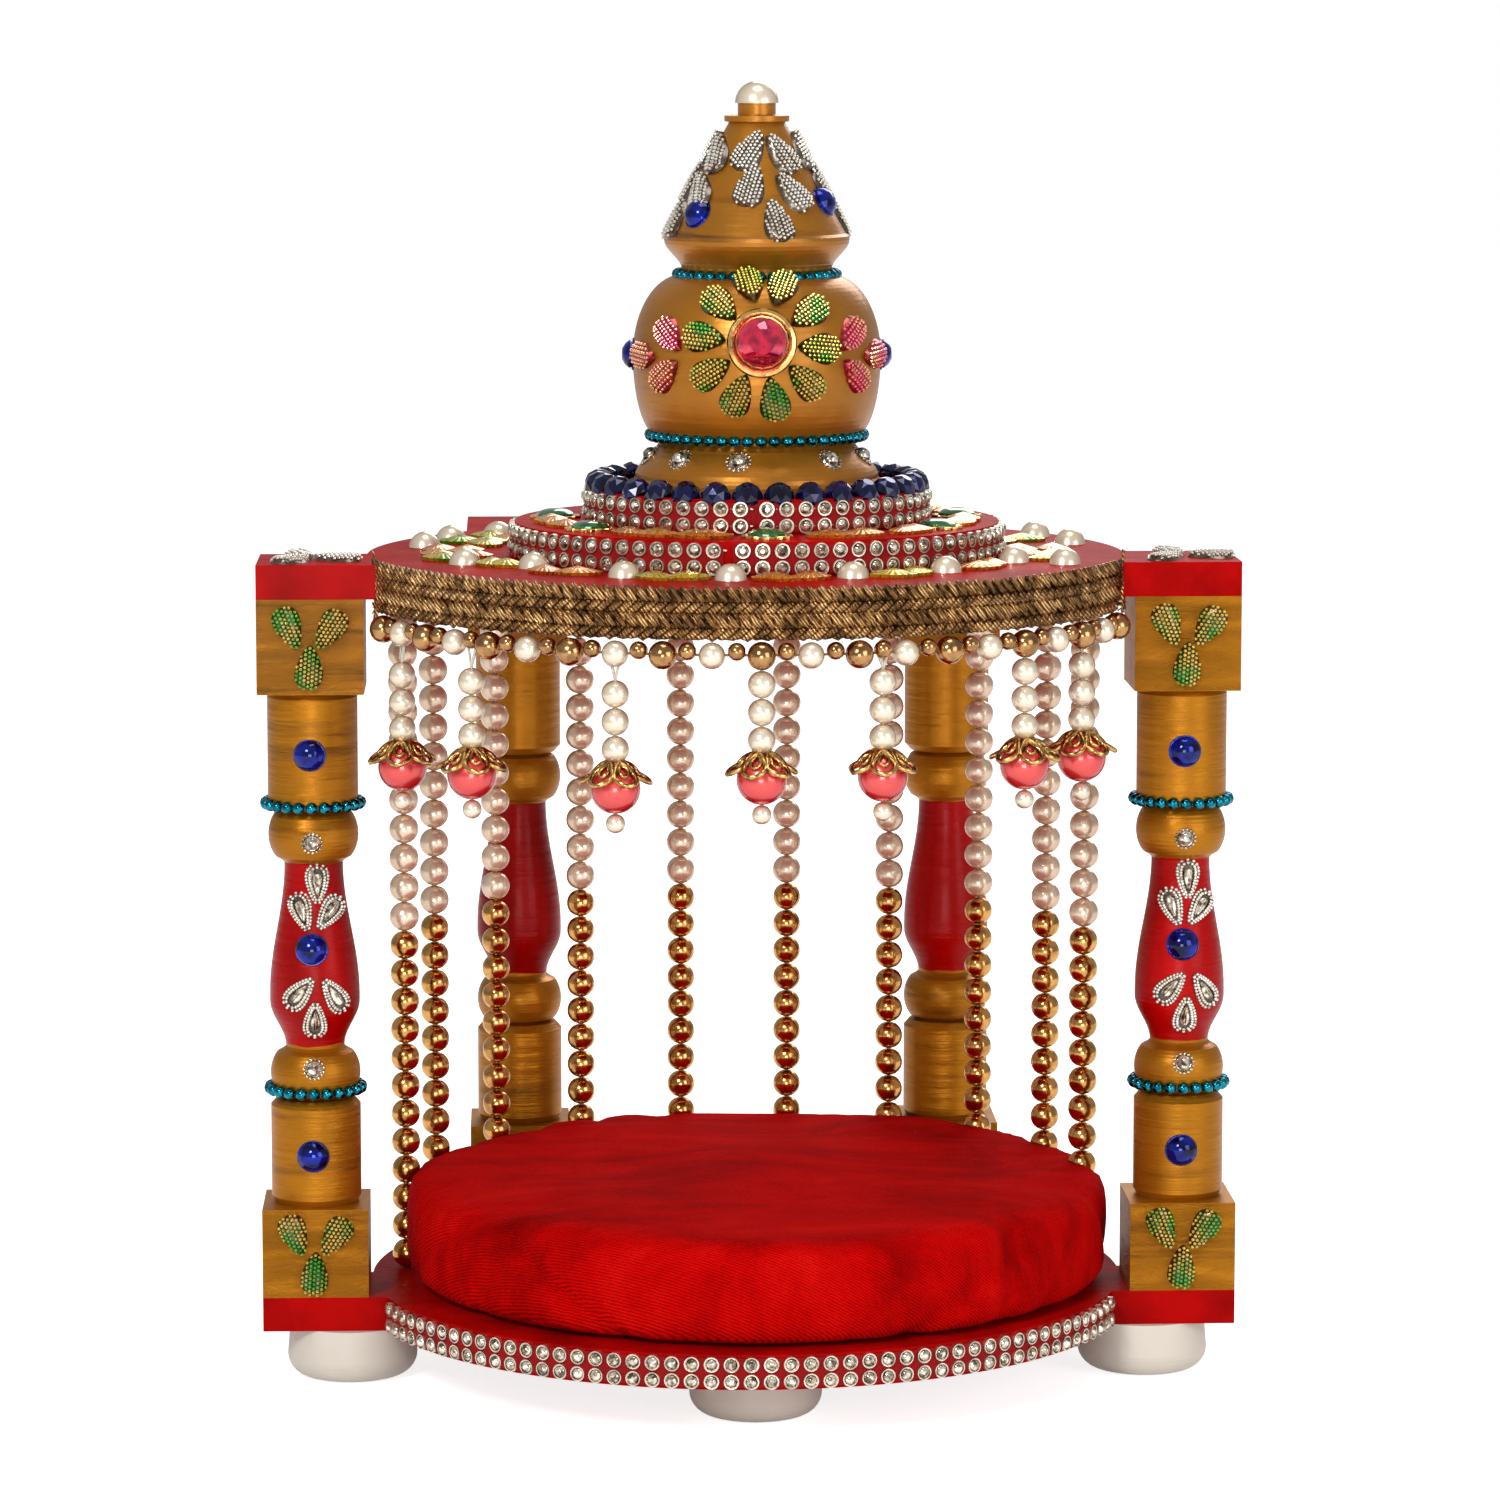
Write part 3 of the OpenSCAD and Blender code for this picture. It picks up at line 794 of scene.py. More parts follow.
class SHRINE_OT_cushion(ShrineOperator, bpy.types.Operator):
    """Fills and covers the round velvet cushion"""

    bl_idname = "shrine.cushion"
    bl_label = "Cushion"

    def execute(self, context):
        mid = (CUSHION_LOW + CUSHION_HIGH) / 2
        radius = (CUSHION_HIGH.x - CUSHION_LOW.x) / 2
        low, high = CUSHION_LOW.z, CUSHION_HIGH.z
        o = start("cylinder", "cushion_cover", vertices=64, radius=radius - 0.002, depth=0.014)
        o.location = (mid.x, mid.y, low + 0.0095)
        settle(o)
        pick(o, lambda f: f.normal.z > 0.9, "FACE")
        for inset, rise in ((0.0022, 0.0024), (0.005, 0.0018), (0.015, 0.0012), (0.02, 0.0005)):
            bpy.ops.mesh.inset(thickness=inset)
            bpy.ops.transform.translate(value=(0, 0, rise))
        leave()
        pick(o, lambda f: f.normal.z < -0.9, "FACE")
        bpy.ops.mesh.inset(thickness=0.0022)
        bpy.ops.transform.translate(value=(0, 0, -0.0022))
        leave()
        modify(o, "REMESH", mode="VOXEL", voxel_size=0.0042)
        cap = size("crown")
        self.fill(o, mid, cap, context.scene)
        modify(o, "SUBSURF", levels=1, render_levels=1)
        self.fit(o, mid, radius, low, high)
        rng = random.Random(7)
        folds = [(rng.uniform(-150, 150), rng.uniform(0.03, 0.08), rng.uniform(-0.9, 0.9)) for _ in range(16)]
        strands = [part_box(f"bead_strand_{i:02d}") for i in range(1, 11)]
        turns = [math.degrees(math.atan2(a.x + b.x, 2 * AXIS_Y - a.y - b.y)) for a, b in strands]
        inner = radius + 0.0002
        bulge_out, starts, grows = STRAND_DENT
        for v in o.data.vertices:
            out = Vector((v.co.x - AXIS_X, v.co.y - AXIS_Y, 0))
            angle = math.degrees(math.atan2(out.x, -out.y))
            lift = min(1, max(0, (v.co.z - low) / (high - low)))
            sink = 0.0
            for at, wide, lean in folds:
                across = (angle - at - lean * 40 * lift) * math.pi / 180
                full = min(1, max(0, (out.length - 0.05) / 0.02))
                sink += math.exp(-((across / wide) ** 2)) * 0.0012 * full
            v.co -= out.normalized() * sink * 0.8 + Vector((0, 0, sink * 0.4 * lift))
            v.co.z += 0.001 * math.sin(out.x * 75 + 1.0) * math.cos(out.y * 60) * lift
            near = min(abs((angle - t + 180) % 360 - 180) for t in turns)
            limit = inner + bulge_out * min(1, max(0, (near - starts) / grows))
            reach = Vector((v.co.x - AXIS_X, v.co.y - AXIS_Y, 0)).length
            if reach > limit:
                v.co -= out.normalized() * (reach - limit)
            v.co.z = min(max(v.co.z, low), high + 0.005)
        paint(o, velvet(tint("velvet")))
        finish_piece(o, ["cushion"], 180)
        return {"FINISHED"}

    def fill(self, o, mid, cap, scene):
        """Blows the cover up as cloth, and keeps every point within cap of where it was sewn."""
        before = [v.co.copy() for v in o.data.vertices]
        choose(o)
        cloth = o.modifiers.new("Cloth", "CLOTH")
        cloth.settings.use_pressure = True
        cloth.settings.uniform_pressure_force = 4
        cloth.settings.effector_weights.gravity = 0
        cloth.settings.quality = 6
        for step in range(1, 21):
            scene.frame_set(step)
        choose(o)
        bpy.ops.object.modifier_apply(modifier=cloth.name)
        scene.frame_set(1)
        for v, was in zip(o.data.vertices, before):
            shift = v.co - was
            out = Vector((was.x - mid.x, was.y - mid.y, 0)).normalized()
            shift -= out * min(0, shift.dot(out))
            if shift.length > cap:
                v.co = was + shift.normalized() * cap

    def fit(self, o, mid, radius, low, high):
        """Draws the filled cover to a flat top with upright sides and round shoulders."""
        reach = max((v.co.xy - mid.xy).length for v in o.data.vertices)
        top = max(v.co.z for v in o.data.vertices)
        floor = min(v.co.z for v in o.data.vertices)
        half = (high - low) / 2
        wide = radius + COVER_SPARE
        edge = wide - half
        for v in o.data.vertices:
            side = v.co.xy - mid.xy
            across = side.length / reach * wide
            up = (v.co.z - floor) / (top - floor) * half * 2 - half
            if across > edge:
                long = math.hypot(across - edge, up)
                out, rise = (across - edge) / long, up / long
                long = FILLED * long + FORMED * half * (abs(out) ** 5 + abs(rise) ** 5) ** -0.2
                across, up = edge + out * long, rise * long
            else:
                dome = 0.0012 * (1 - (across / edge) ** 2) if up > 0 else 0
                up = FILLED * up + FORMED * math.copysign(half + dome, up)
            side = side.normalized() * across
            back = COVER_BACK if side.y > 0 else 1
            v.co = (COVER_ASIDE + mid.x + side.x, mid.y + side.y * back, low + half + up)


class SHRINE_OT_fringe(ShrineOperator, bpy.types.Operator):
    """Hangs the fringe of copper balls and pearls under the roof's braid"""

    bl_idname = "shrine.fringe"
    bl_label = "Bead fringe"

    def execute(self, context):
        copper = plated("bead_copper", tint("copper"), 0.12, 0.6)
        ivory = ivory_pearl()
        cord = thread("fringe_thread", (0.32, 0.2, 0.1))
        ball = paint(bead("fringe_ball", 0.00305, 18, 12), copper)
        globe = paint(bead("fringe_pearl", 0.00285, 18, 12, 0.06), ivory)
        small = paint(bead("fringe_bead", 0.00195, 12, 8), copper)
        parts = []
        for half in range(-20, 21):
            kind = small if half % 2 else (globe if half % 4 else ball)
            drop = -0.0002 if half % 2 == 0 else 0.0007
            point = on_ring(FRINGE_R, half * 3.5, FRINGE_Z + drop)
            parts += copy_at(kind, [facing(point, out_at(half * 3.5 + 90))])
        loop = [on_ring(FRINGE_R, a / 2, FRINGE_Z) for a in range(-140, 141, 3)]
        over = []
        for a in range(-140, 141, 2):
            over.append(on_ring(FRINGE_R - 0.0009, a / 2, FRINGE_Z + 0.0036 + 0.0006 * math.sin(a * 1.9)))
        parts.append(paint(tube_line("fringe_line", loop, 0.0003), cord))
        parts.append(paint(tube_line("fringe_loop", over, 0.0005), cord))
        o = join("fringe", parts)
        discard(ball, globe, small)
        finish_piece(o, ["bead_fringe"], 60)
        return {"FINISHED"}


class SHRINE_OT_tassels(ShrineOperator, bpy.types.Operator):
    """Hangs the seven tassels: pearls, a filigree cap, a coral ball and a drop"""

    bl_idname = "shrine.tassels"
    bl_label = "Tassels"

    def execute(self, context):
        ivory = ivory_pearl()
        # The second colour is the painted highlight at each ball's middle.
        coral = pearl("coral_pearl", tint("coral"), (0.76, 0.065, 0.06))
        gilt = plated("antique_gilt", (0.66, 0.4, 0.13), 0.2, 0.4, 600)
        cord = thread("tassel_thread", (0.78, 0.72, 0.6))
        r, big, drop_r = 0.00295, 0.00535, 0.0021
        ball = paint(bead("coral_ball", big, 28, 18, 0.05), coral)
        globe = paint(bead("tassel_pearl", r, 18, 12, 0.06), ivory)
        drop = paint(bead("tassel_drop", drop_r, 16, 10, 0.05), ivory)
        nub = paint(bead("tassel_nub", 0.0011, 10, 8), gilt)
        petal = paint(self.petal(big), gilt)
        heights = [(i * 2 + 1) * r for i in range(3)]
        ball_z = -6 * r - big
        parts = copy_at(globe, [Matrix.Translation((0, 0, -h)) for h in heights])
        parts += copy_at(ball, [Matrix.Translation((0, 0, ball_z))])
        parts += copy_at(drop, [Matrix.Translation((0, 0, ball_z - big - drop_r))])
        parts += copy_at(nub, [Matrix.Translation((0, 0, ball_z + big + 0.0001))])
        turned = [Matrix.Rotation(math.radians(60 * i + 12), 4, "Z") for i in range(6)]
        parts += copy_at(petal, [Matrix.Translation((0, 0, ball_z)) @ turn for turn in turned])
        core = [(0, 0, 0), (0, 0, ball_z - big)]
        parts.append(paint(tube_line("tassel_core", core, 0.0004), cord))
        whole = join("tassel", parts)
        discard(ball, globe, drop, nub, petal)
        for i in range(1, 8):
            node = f"tassel_{i}"
            a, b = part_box(node)
            x, y = (a.x + b.x) / 2, (a.y + b.y) / 2
            angle = math.degrees(math.atan2(x - AXIS_X, AXIS_Y - y))
            top = a.z + 2 * drop_r + 2 * big + 6 * r
            lean = Matrix.Rotation(math.radians(-angle + (i * 37) % 60), 4, "Z")
            twin = copy_at(whole, [Matrix.Translation((x, y, top)) @ lean])[0]
            points = []
            for side in (-1, 1):
                foot = Vector((x, y, top))
                head = on_ring(FRINGE_R - 0.0004, angle + side * 1.1, FRINGE_Z + 0.001)
                loop = tube_line(f"tassel_loop_{side}", [foot, (foot + head) / 2, head], 0.00032)
                points.append(paint(loop, cord))
            finish_piece(join(f"hanging_tassel_{i}", [twin, *points]), [node], 60)
        discard(whole)
        return {"FINISHED"}

    def petal(self, big):
        """One open-work petal: an arched outline and an inner loop lying on the ball's top."""
        outline = []
        inner = []
        for i in range(17):
            t = i / 16
            reach = 1 - abs(2 * t - 1) ** 1.6
            polar = math.radians(18 + 62 * reach)
            wide = math.radians(28) * math.sin(math.pi * (1 - abs(2 * t - 1)) ** 0.8) * (-1 if t < 0.5 else 1)
            outline.append(self.on_ball(big + 0.0006 + 0.0016 * max(0, reach - 0.7) / 0.3, polar, wide))
            inner.append(self.on_ball(big + 0.0006, math.radians(26 + 34 * reach), wide * 0.5))
        a = tube_line("petal_outline", outline, 0.00055)
        b = tube_line("petal_inner", inner, 0.00038)
        return join("filigree_petal", [a, b])

    def on_ball(self, radius, polar, turn):
        """A point by its angle from the top and its turn from the front."""
        flat = radius * math.sin(polar)
        return (flat * math.sin(turn), -flat * math.cos(turn), radius * math.cos(polar))


class SHRINE_OT_braid(ShrineOperator, bpy.types.Operator):
    """Plaits the metallic braid round the roof's edge"""

    bl_idname = "shrine.braid"
    bl_label = "Braid"

    def execute(self, context):
        yarn = braid_yarn(tint("braid"))
        high = BRAID_HIGH.z - 0.0002
        low = BRAID_LOW.z - 0.0004
        rows = 4
        pitch = (high - low) / rows
        reach = FRONT_REACH
        step = math.degrees(size("stitch") / BOARD_R)
        count = int(2 * reach / step)
        parts = []
        for row in range(rows):
            stitch = start("uv_sphere", f"stitch_{row}", segments=10, ring_count=7, radius=0.5)
            stitch.scale = (0.0018, 0.0046, 0.0019)
            settle(stitch)
            for end in (1, -1):
                pick(stitch, lambda v: v.y * end > 0.0008)
                bpy.ops.transform.translate(value=(end * 0.0003, 0, -0.0002))
                leave()
            lean = 50 if row % 2 else -50
            z = low + (row + 0.5) * pitch
            angle = -reach + (0.5 if row % 2 else 0) * step
            stitch.matrix_world = facing(on_ring(BOARD_R + 0.0009, angle, z), out_at(angle), spin=lean)
            settle(stitch)
            parts.append(ring_array(stitch, count, step))
        section = (BOARD_R + 0.0001, 0.0006, low + 0.0003, high - 0.0003)
        backing = arc_bar("braid_backing", *section, -reach, reach)
        rng = random.Random(11)
        for side in (-1, 1):
            for i in range(70):
                z = low + rng.random() * (high - low)
                a = side * (reach + 0.2)
                run = rng.uniform(0.8, 3.6) * side
                points = [
                    on_ring(BOARD_R + 0.0009, a - side, z),
                    on_ring(BOARD_R + 0.0011, a + run * 0.5, z + rng.uniform(-0.0008, 0.0008)),
                    on_ring(BOARD_R + 0.0012, a + run, z + rng.uniform(-0.0035, 0.0035)),
                ]
                parts.append(tube_line(f"frayed_{side}_{i}", points, 0.0002, 4))
        o = paint(join("braid", [*parts, backing]), yarn)
        finish_piece(o, ["roof_braid"], 60)
        return {"FINISHED"}


class SHRINE_OT_strips(ShrineOperator, bpy.types.Operator):
    """Sets the cup crystals on their red tapes round the base and both tiers"""

    bl_idname = "shrine.strips"
    bl_label = "Crystal strips"

    def execute(self, context):
        silver = plated("strip_cup", (0.8, 0.73, 0.6), 0.3, 0.55, 500)
        clear_stone = crystal()
        tape = thread("red_tape", (0.35, 0.01, 0.012))
        for node, radius, middle, reach, seam in (
            ("base_crystal_strip", BOARD_R, STAND, FRONT_REACH, -FRONT_REACH),
            ("lower_tier_crystal_strip", TIER1_R, CROWN, 178.9, -7.6),
            ("upper_tier_crystal_strip", TIER2_R, CROWN, 178.9, -2.2),
        ):
            a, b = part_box(node)
            mid = (a.z + b.z) / 2
            section = (radius + 0.0001, 0.0005, a.z + 0.0003, b.z - 0.0003)
            backing = arc_bar(f"{node}_tape", *section, seam, seam + 2 * reach, middle)
            paint(backing, tape)
            pitch = math.degrees(size("cup_pitch") / (radius + 0.0006))
            count = int(2 * reach / pitch)
            step = 2 * reach / count
            cell = self.cell(silver, clear_stone)
            parts = [backing]
            for row in (-1, 1):
                angle = seam + step / 2
                spots = [facing(on_ring(radius + 0.0006, angle, mid + row * 0.00185, middle), out_at(angle))]
                set_row = join("cup_row", copy_at(cell, spots))
                parts.append(ring_array(set_row, count, step, middle))
            discard(cell)
            finish_piece(join(f"set_{node}", parts), [node], 30)
        return {"FINISHED"}

    def cell(self, silver, clear_stone):
        """A round cup with a faceted stone in it, and a bar that links it to the next."""
        cup = start("cylinder", "cup", vertices=16, radius=0.00165, depth=0.0012)
        pick(cup, lambda f: f.normal.z > 0.9, "FACE")
        bpy.ops.mesh.inset(thickness=0.00024)
        bpy.ops.mesh.extrude_region_move(TRANSFORM_OT_translate={"value": (0, 0, -0.0006)})
        leave()
        at = (0.0021, 0, -0.0003)
        link = start("uv_sphere", "link", segments=6, ring_count=4, radius=0.0005, location=at)
        link.scale = (1.6, 0.6, 0.5)
        settle(link)
        gem = paint(stone_cut("cup_stone", 0.00132, 0.0012, 8, 0.5), clear_stone)
        gem.location.z = -0.0001
        return join("cup_cell", [paint(cup, silver), paint(link, silver), gem])


class SHRINE_OT_finial(ShrineOperator, bpy.types.Operator):
    """Dresses the finial: ruby, leaves, stones, crystal flowers and fine bead rings"""

    bl_idname = "shrine.finial"
    bl_label = "Finial ornaments"

    def execute(self, context):
        base = FINIAL_LOW.z
        a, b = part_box("finial_jewel")
        middle = (a + b) / 2
        angle = math.degrees(math.atan2(middle.x - CROWN_X, AXIS_Y - middle.y))
        where, normal = strike("finial", angle, middle.z)
        ruby_r = size("ruby_across") / 2
        ruby = stone("ruby", tint("ruby"), (0.3, 0.0, 0.04))
        gem = paint(stone_cut("ruby_stone", ruby_r, 0.0046, 16, 0.6), ruby)
        band = paint(rim("ruby_rim", ruby_r + 0.0008, 0.00095, 40), bezel_gold())
        whole = join("ruby", [gem, band])
        whole.matrix_world = facing(where + normal * 0.0002, normal)
        finish_piece(join("ruby_jewel", [whole]), ["finial_jewel"], 30)

        foils = leaf_finishes()
        blade = leaf("ruby_leaf", 0.0074, 0.01, 0.0022, foils["green"])
        turns = (-14, 25, 60, 96, 132, 168, 204, 239, 275, 310)
        places = [self.around("finial", angle, middle.z, 0.0131, turn) for turn in turns]
        finish_piece(strew("ruby_leaves", blade, places), (), 40)

        blade = leaf("side_leaf", 0.0072, 0.0096, 0.0018, foils["pink"])
        spots = []
        for side in (-1, 1):
            for turn, lift, spin in ((47, 0.0345, 52), (49, 0.0262, 128), (66, 0.0298, 86)):
                spots.append(on_node("finial", side * turn, base + lift, spin=-side * spin, sink=0.0002))
        for turn, lift, spin in ((170, 0.034, 30), (180, 0.025, 180), (190, 0.034, -30)):
            spots.append(on_node("finial", turn, base + lift, spin=spin, sink=0.0002))
        finish_piece(strew("side_leaves", blade, spots), (), 40)

        blade = leaf("cone_leaf", 0.0074, 0.0106, 0.0018, foils["silver"])
        spots = []
        spray = (
            (-6, 0.0745, 155), (36, 0.0738, -155), (-2, 0.067, 166), (36, 0.0656, -148), (18, 0.0594, -168),
        )
        for turn in (2, 92, 182, 272):
            for shift, lift, spin in spray:
                spots.append(on_node("finial", turn + shift - 8, base + lift, spin=spin, sink=0.0002))
        finish_piece(strew("cone_leaves", blade, spots), (), 40)

        source = blue_stone("cone_blue", 0.0033, 0.0025, 0.0034, 0.0003)
        cone = ((-52, 0.061), (67, 0.0634), (139, 0.061), (-139, 0.061))
        spots = [on_node("finial", turn, base + lift, sink=0.0001) for turn, lift in cone]
        spots += [on_node("finial", turn, base + 0.0295, sink=0.0001) for turn in (-90, 88)]
        finish_piece(strew("finial_blue_stones", source, spots), (), 30)

        source = crystal_flower("skirt_flower", 0.0031)
        turns = (-83, -47, -12, 40, 76, 120, 165, -125)
        spots = [on_node("finial", turn, base + 0.0072, spin=turn) for turn in turns]
        finish_piece(strew("skirt_flowers", source, spots), (), 30)

        teal = teal_metal()
        for name, lift in (("upper", 0.0472), ("lower", 0.0116)):
            place, _ = strike("finial", 0, base + lift)
            o = paint(fine_ring(f"{name}_bead_ring", AXIS_Y - place.y + 0.001, base + lift, CROWN), teal)
            finish_piece(o, (), 60)
        return {"FINISHED"}

    def around(self, node, angle, z, reach, turn):
        """A leaf's place beside a centre on a node, its point toward that centre."""
        side, up = math.sin(math.radians(turn)) * reach, math.cos(math.radians(turn)) * reach
        return on_node(node, angle + math.degrees(side / BELLY_R), z + up * 0.95, spin=-turn, sink=0.0003)


class SHRINE_OT_legs(ShrineOperator, bpy.types.Operator):
    """Dresses the two front legs: stones, crystal flowers, petals, leaves and bead rings"""

    bl_idname = "shrine.legs"
    bl_label = "Leg ornaments"

    def execute(self, context):
        foils = leaf_finishes()
        teal = teal_metal()
        for side in ("left", "right"):
            node = f"leg_front_{side}"
            low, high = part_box(node)
            axis = (low + high) / 2
            axis.z = 0
            source = blue_stone("leg_blue", 0.00335, 0.0026, 0.00342, 0.00022)
            spots = [on_node(node, -2, z, axis, sink=0.0001) for z in (0.1408, 0.0974, 0.0511)]
            finish_piece(strew(f"{node}_stones", source, spots), (), 30)

            source = crystal_flower("leg_flower", 0.0026)
            spots = [on_node(node, 0, z, axis, spin=10) for z in (0.1213, 0.0707)]
            finish_piece(strew(f"{node}_flowers", source, spots), (), 30)

            source = crystal_petal("vase_petal", 0.0055, 0.0088, foils["silver"])
            above = ((8, 0.1117, 0), (-19, 0.1056, 22), (28, 0.1053, -42))
            below = ((-17, 0.0878, 138), (27, 0.0872, -145), (2, 0.0818, 178))
            spots = [on_node(node, turn, z, axis, spin=spin, sink=0.0001) for turn, z, spin in above + below]
            finish_piece(strew(f"{node}_petals", source, spots), (), 40)

            blade = leaf("block_leaf", 0.0069, 0.0098, 0.0022, foils["green"])
            spots = []
            clover = ((-0.0045, 0.004, 22), (0.0044, 0.0036, -34), (-0.0002, -0.0046, 176))
            for z in (BASE_HIGH.z + 0.0102, ROOF_LOW.z - 0.0102):
                for aside, lift, spin in clover:
                    point = Vector((axis.x + aside, low.y + 0.0003, z + lift))
                    spots.append(facing(point, Vector((0, -1, 0)), spin=spin))
            finish_piece(strew(f"{node}_leaves", blade, spots), (), 40)

            rings = []
            for z in (0.1291, 0.0651):
                place, _ = strike(node, 0, z, axis)
                rings.append(fine_ring(f"{node}_ring", axis.y - place.y + 0.001, z, axis))
            finish_piece(paint(join(f"{node}_bead_rings", rings), teal), (), 60)
        return {"FINISHED"}


class SHRINE_OT_roof(ShrineOperator, bpy.types.Operator):
    """Sets half pearls, stones and foil leaves on the roof and its tiers"""

    bl_idname = "shrine.roof"
    bl_label = "Roof ornaments"

    def execute(self, context):
        ivory = ivory_pearl()
        orange = leaf_foil("leaf_orange", (0.62, 0.17, 0.012), (0.8, 0.34, 0.04), (0.4, 0.3, 0.2))
        lime = leaf_foil("leaf_lime", (0.14, 0.36, 0.015), (0.7, 0.52, 0.04), (0.4, 0.4, 0.2))
        top, step1, step2 = ROOF_HIGH.z, TIER1_HIGH.z, TIER2_HIGH.z

        pearls = [
            (74, -103.6), (74, -116.6), (70, -127.6), (66.6, -69.9), (57.5, -55.6), (60.1, -28), (60.6, -5.3),
            (59.5, 20.5), (60.8, 43.1), (62.3, 68.9), (74.2, 68.3), (78.2, 119.5), (77, 104.9), (70, 150),
            (70, -155),
        ]
        dome = start("uv_sphere", "half_pearl", segments=24, ring_count=14, radius=size("half_pearl") / 2)
        pick(dome, lambda v: True)
        bpy.ops.mesh.bisect(plane_co=(0, 0, 0), plane_no=(0, 0, 1), clear_inner=True, use_fill=True)
        leave()
        pick(dome, lambda v: abs(v.z) < 0.0001)
        bpy.ops.transform.resize(value=(1.03, 1.03, 1), center_override=(0, 0, 0))
        leave()
        places = [Matrix.Translation(on_ring(r * MM, a, top)) for r, a in pearls]
        finish_piece(strew("half_pearls", paint(dome, ivory), places), (), 60)

        rows = sorted(a for r, a in pearls)
        kinds = (
            ("orange", orange, 1, (-95, -85, 82, 92, 128, -141, 165, -172)),
            ("lime", lime, 0, (-112, -124, 112, 139, -130, 178, 74, -78)),
        )
        for name, mat, odd, lone in kinds:
            blade = paint(sequin(f"{name}_sequin", 0.0068, 0.0105), mat)
            spots = []
            for k, (a, b) in enumerate(zip(rows, rows[1:] + [rows[0] + 360])):
                if b - a < 9 or k % 2 != odd:
                    continue
                for share, reach, turn in ((0.34, 0.0625, 62), (0.62, 0.0612, -58)):
                    spots.append(self.lie(reach, a + (b - a) * share, top, turn))
            for a in lone:
                spots.append(self.lie(0.069, a, top, a * 3))
            finish_piece(strew(f"{name}_sequins", blade, spots), (), 40)

        at = (0, 0, 0.0004)
        plate = start("cylinder", "flat_setting", vertices=32, radius=0.0058, depth=0.0008, location=at)
        settle(plate)
        pick(plate, lambda v: round(math.atan2(v.y, v.x) / (math.pi / 16)) % 2 == 0 and v.xy.length > 0.003)
        bpy.ops.transform.resize(value=(0.87, 0.87, 1), center_override=(0, 0, 0))
        leave()
        modify(plate, "BEVEL", width=0.00015, segments=1)
        gem = stone_cut("green_stone", 0.0042, 0.0014, 12, 0.6)
        gem.location.z = 0.0008
        paint(plate, bezel_gold())
        paint(gem, stone("green_glass", tint("green"), (0.0, 0.06, 0.02)))
        source = join("green_set", [gem, plate])
        turns = (-97, -56, 0.5, 59, 95, 140, 180, -140)
        places = [self.lie(0.0452, t, step1, 0, CROWN) for t in turns]
        finish_piece(strew("green_stones", source, places), (), 30)

        blade = paint(sequin("tier_sequin", 0.0068, 0.0108), orange)
        spots = []
        for low_turn, high_turn in zip(turns, (*turns[1:7], 220, 263)):
            for share, spin in ((0.3, 68), (0.46, 96), (0.72, -70)):
                spots.append(self.lie(0.0462, low_turn + (high_turn - low_turn) * share, step1, spin, CROWN))
        finish_piece(strew("tier_leaves", blade, spots), (), 40)

        count = 32
        angle = 180 / count
        gem = stone_cut("edge_gem", 0.0034, 0.0034, 8, 0.5)
        gem.matrix_world = facing(on_ring(TIER2_R - 0.0024, angle, step2 + 0.0002, CROWN), out_at(angle, 62))
        settle(gem)
        black_blue = stone("navy_glass", (0.005, 0.007, 0.08), (0.0, 0.0, 0.012), 0.5)
        ring = ring_array(paint(gem, black_blue), count, 360 / count, CROWN)
        finish_piece(ring, (), 0)

        blade = leaf("wing_leaf", 0.0072, 0.0105, 0.0014, leaf_finishes()["silver"])
        spots = []
        for node in ("leg_front_left", "leg_front_right"):
            low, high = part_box(node)
            mid = (low + high) / 2
            for spin in (20, 140, 260):
                t = math.radians(spin)
                point = Vector((mid.x - 0.0062 * math.sin(t), mid.y + 0.0062 * math.cos(t), top))
                spots.append(facing(point, Vector((0, 0, 1)), Vector((0, 1, 0)), spin))
        finish_piece(strew("wing_leaves", blade, spots), (), 40)
        return {"FINISHED"}

    def lie(self, radius, angle, z, spin, middle=STAND):
        """Flat on a board, its tip turned by spin from the outward direction."""
        return facing(on_ring(radius, angle, z - 0.0001, middle), Vector((0, 0, 1)), out_at(angle), spin)


def leaf_finishes():
    """The green, pink and silver foils of the beaded leaves: bright grains on a blade painted dark as the
    shade between them.
    """
    # Each second finish paints the blade under the grains dark: painted shade between the grains.
    return {
        "green": (
            leaf_foil("green_grain", (0.1, 0.5, 0.03), (0.85, 0.66, 0.12), (0.4, 0.4, 0.2)),
            leaf_foil("green_blade", (0.003, 0.05, 0.008), (0.09, 0.028, 0.004), (0.3, 0.3, 0.3)),
        ),
        "pink": (
            leaf_foil("pink_grain", (0.85, 0.16, 0.24), (0.92, 0.45, 0.25), (0.4, 0.3, 0.3)),
            leaf_foil("pink_blade", (0.42, 0.004, 0.03), (0.3, 0.035, 0.012), (0.3, 0.3, 0.3)),
        ),
        "silver": (
            leaf_foil("silver_grain", (0.9, 0.88, 0.82), (0.8, 0.74, 0.64), (0.4, 0.36, 0.3)),
            leaf_foil("silver_blade", (0.14, 0.11, 0.08), (0.08, 0.05, 0.03), (0.4, 0.4, 0.4)),
        ),
    }


def blue_stone(name, radius, height, rim_radius, rim_thick):
    """A round navy stone with a rim of its own colour."""
    navy = stone("blue_stone", tint("blue"), (0.0, 0.001, 0.03), 0.35)
    gem = paint(stone_cut(f"{name}_gem", radius, height, 12, 0.5), navy)
    return join(name, [gem, paint(rim(f"{name}_rim", rim_radius, rim_thick, 24, 6), navy)])


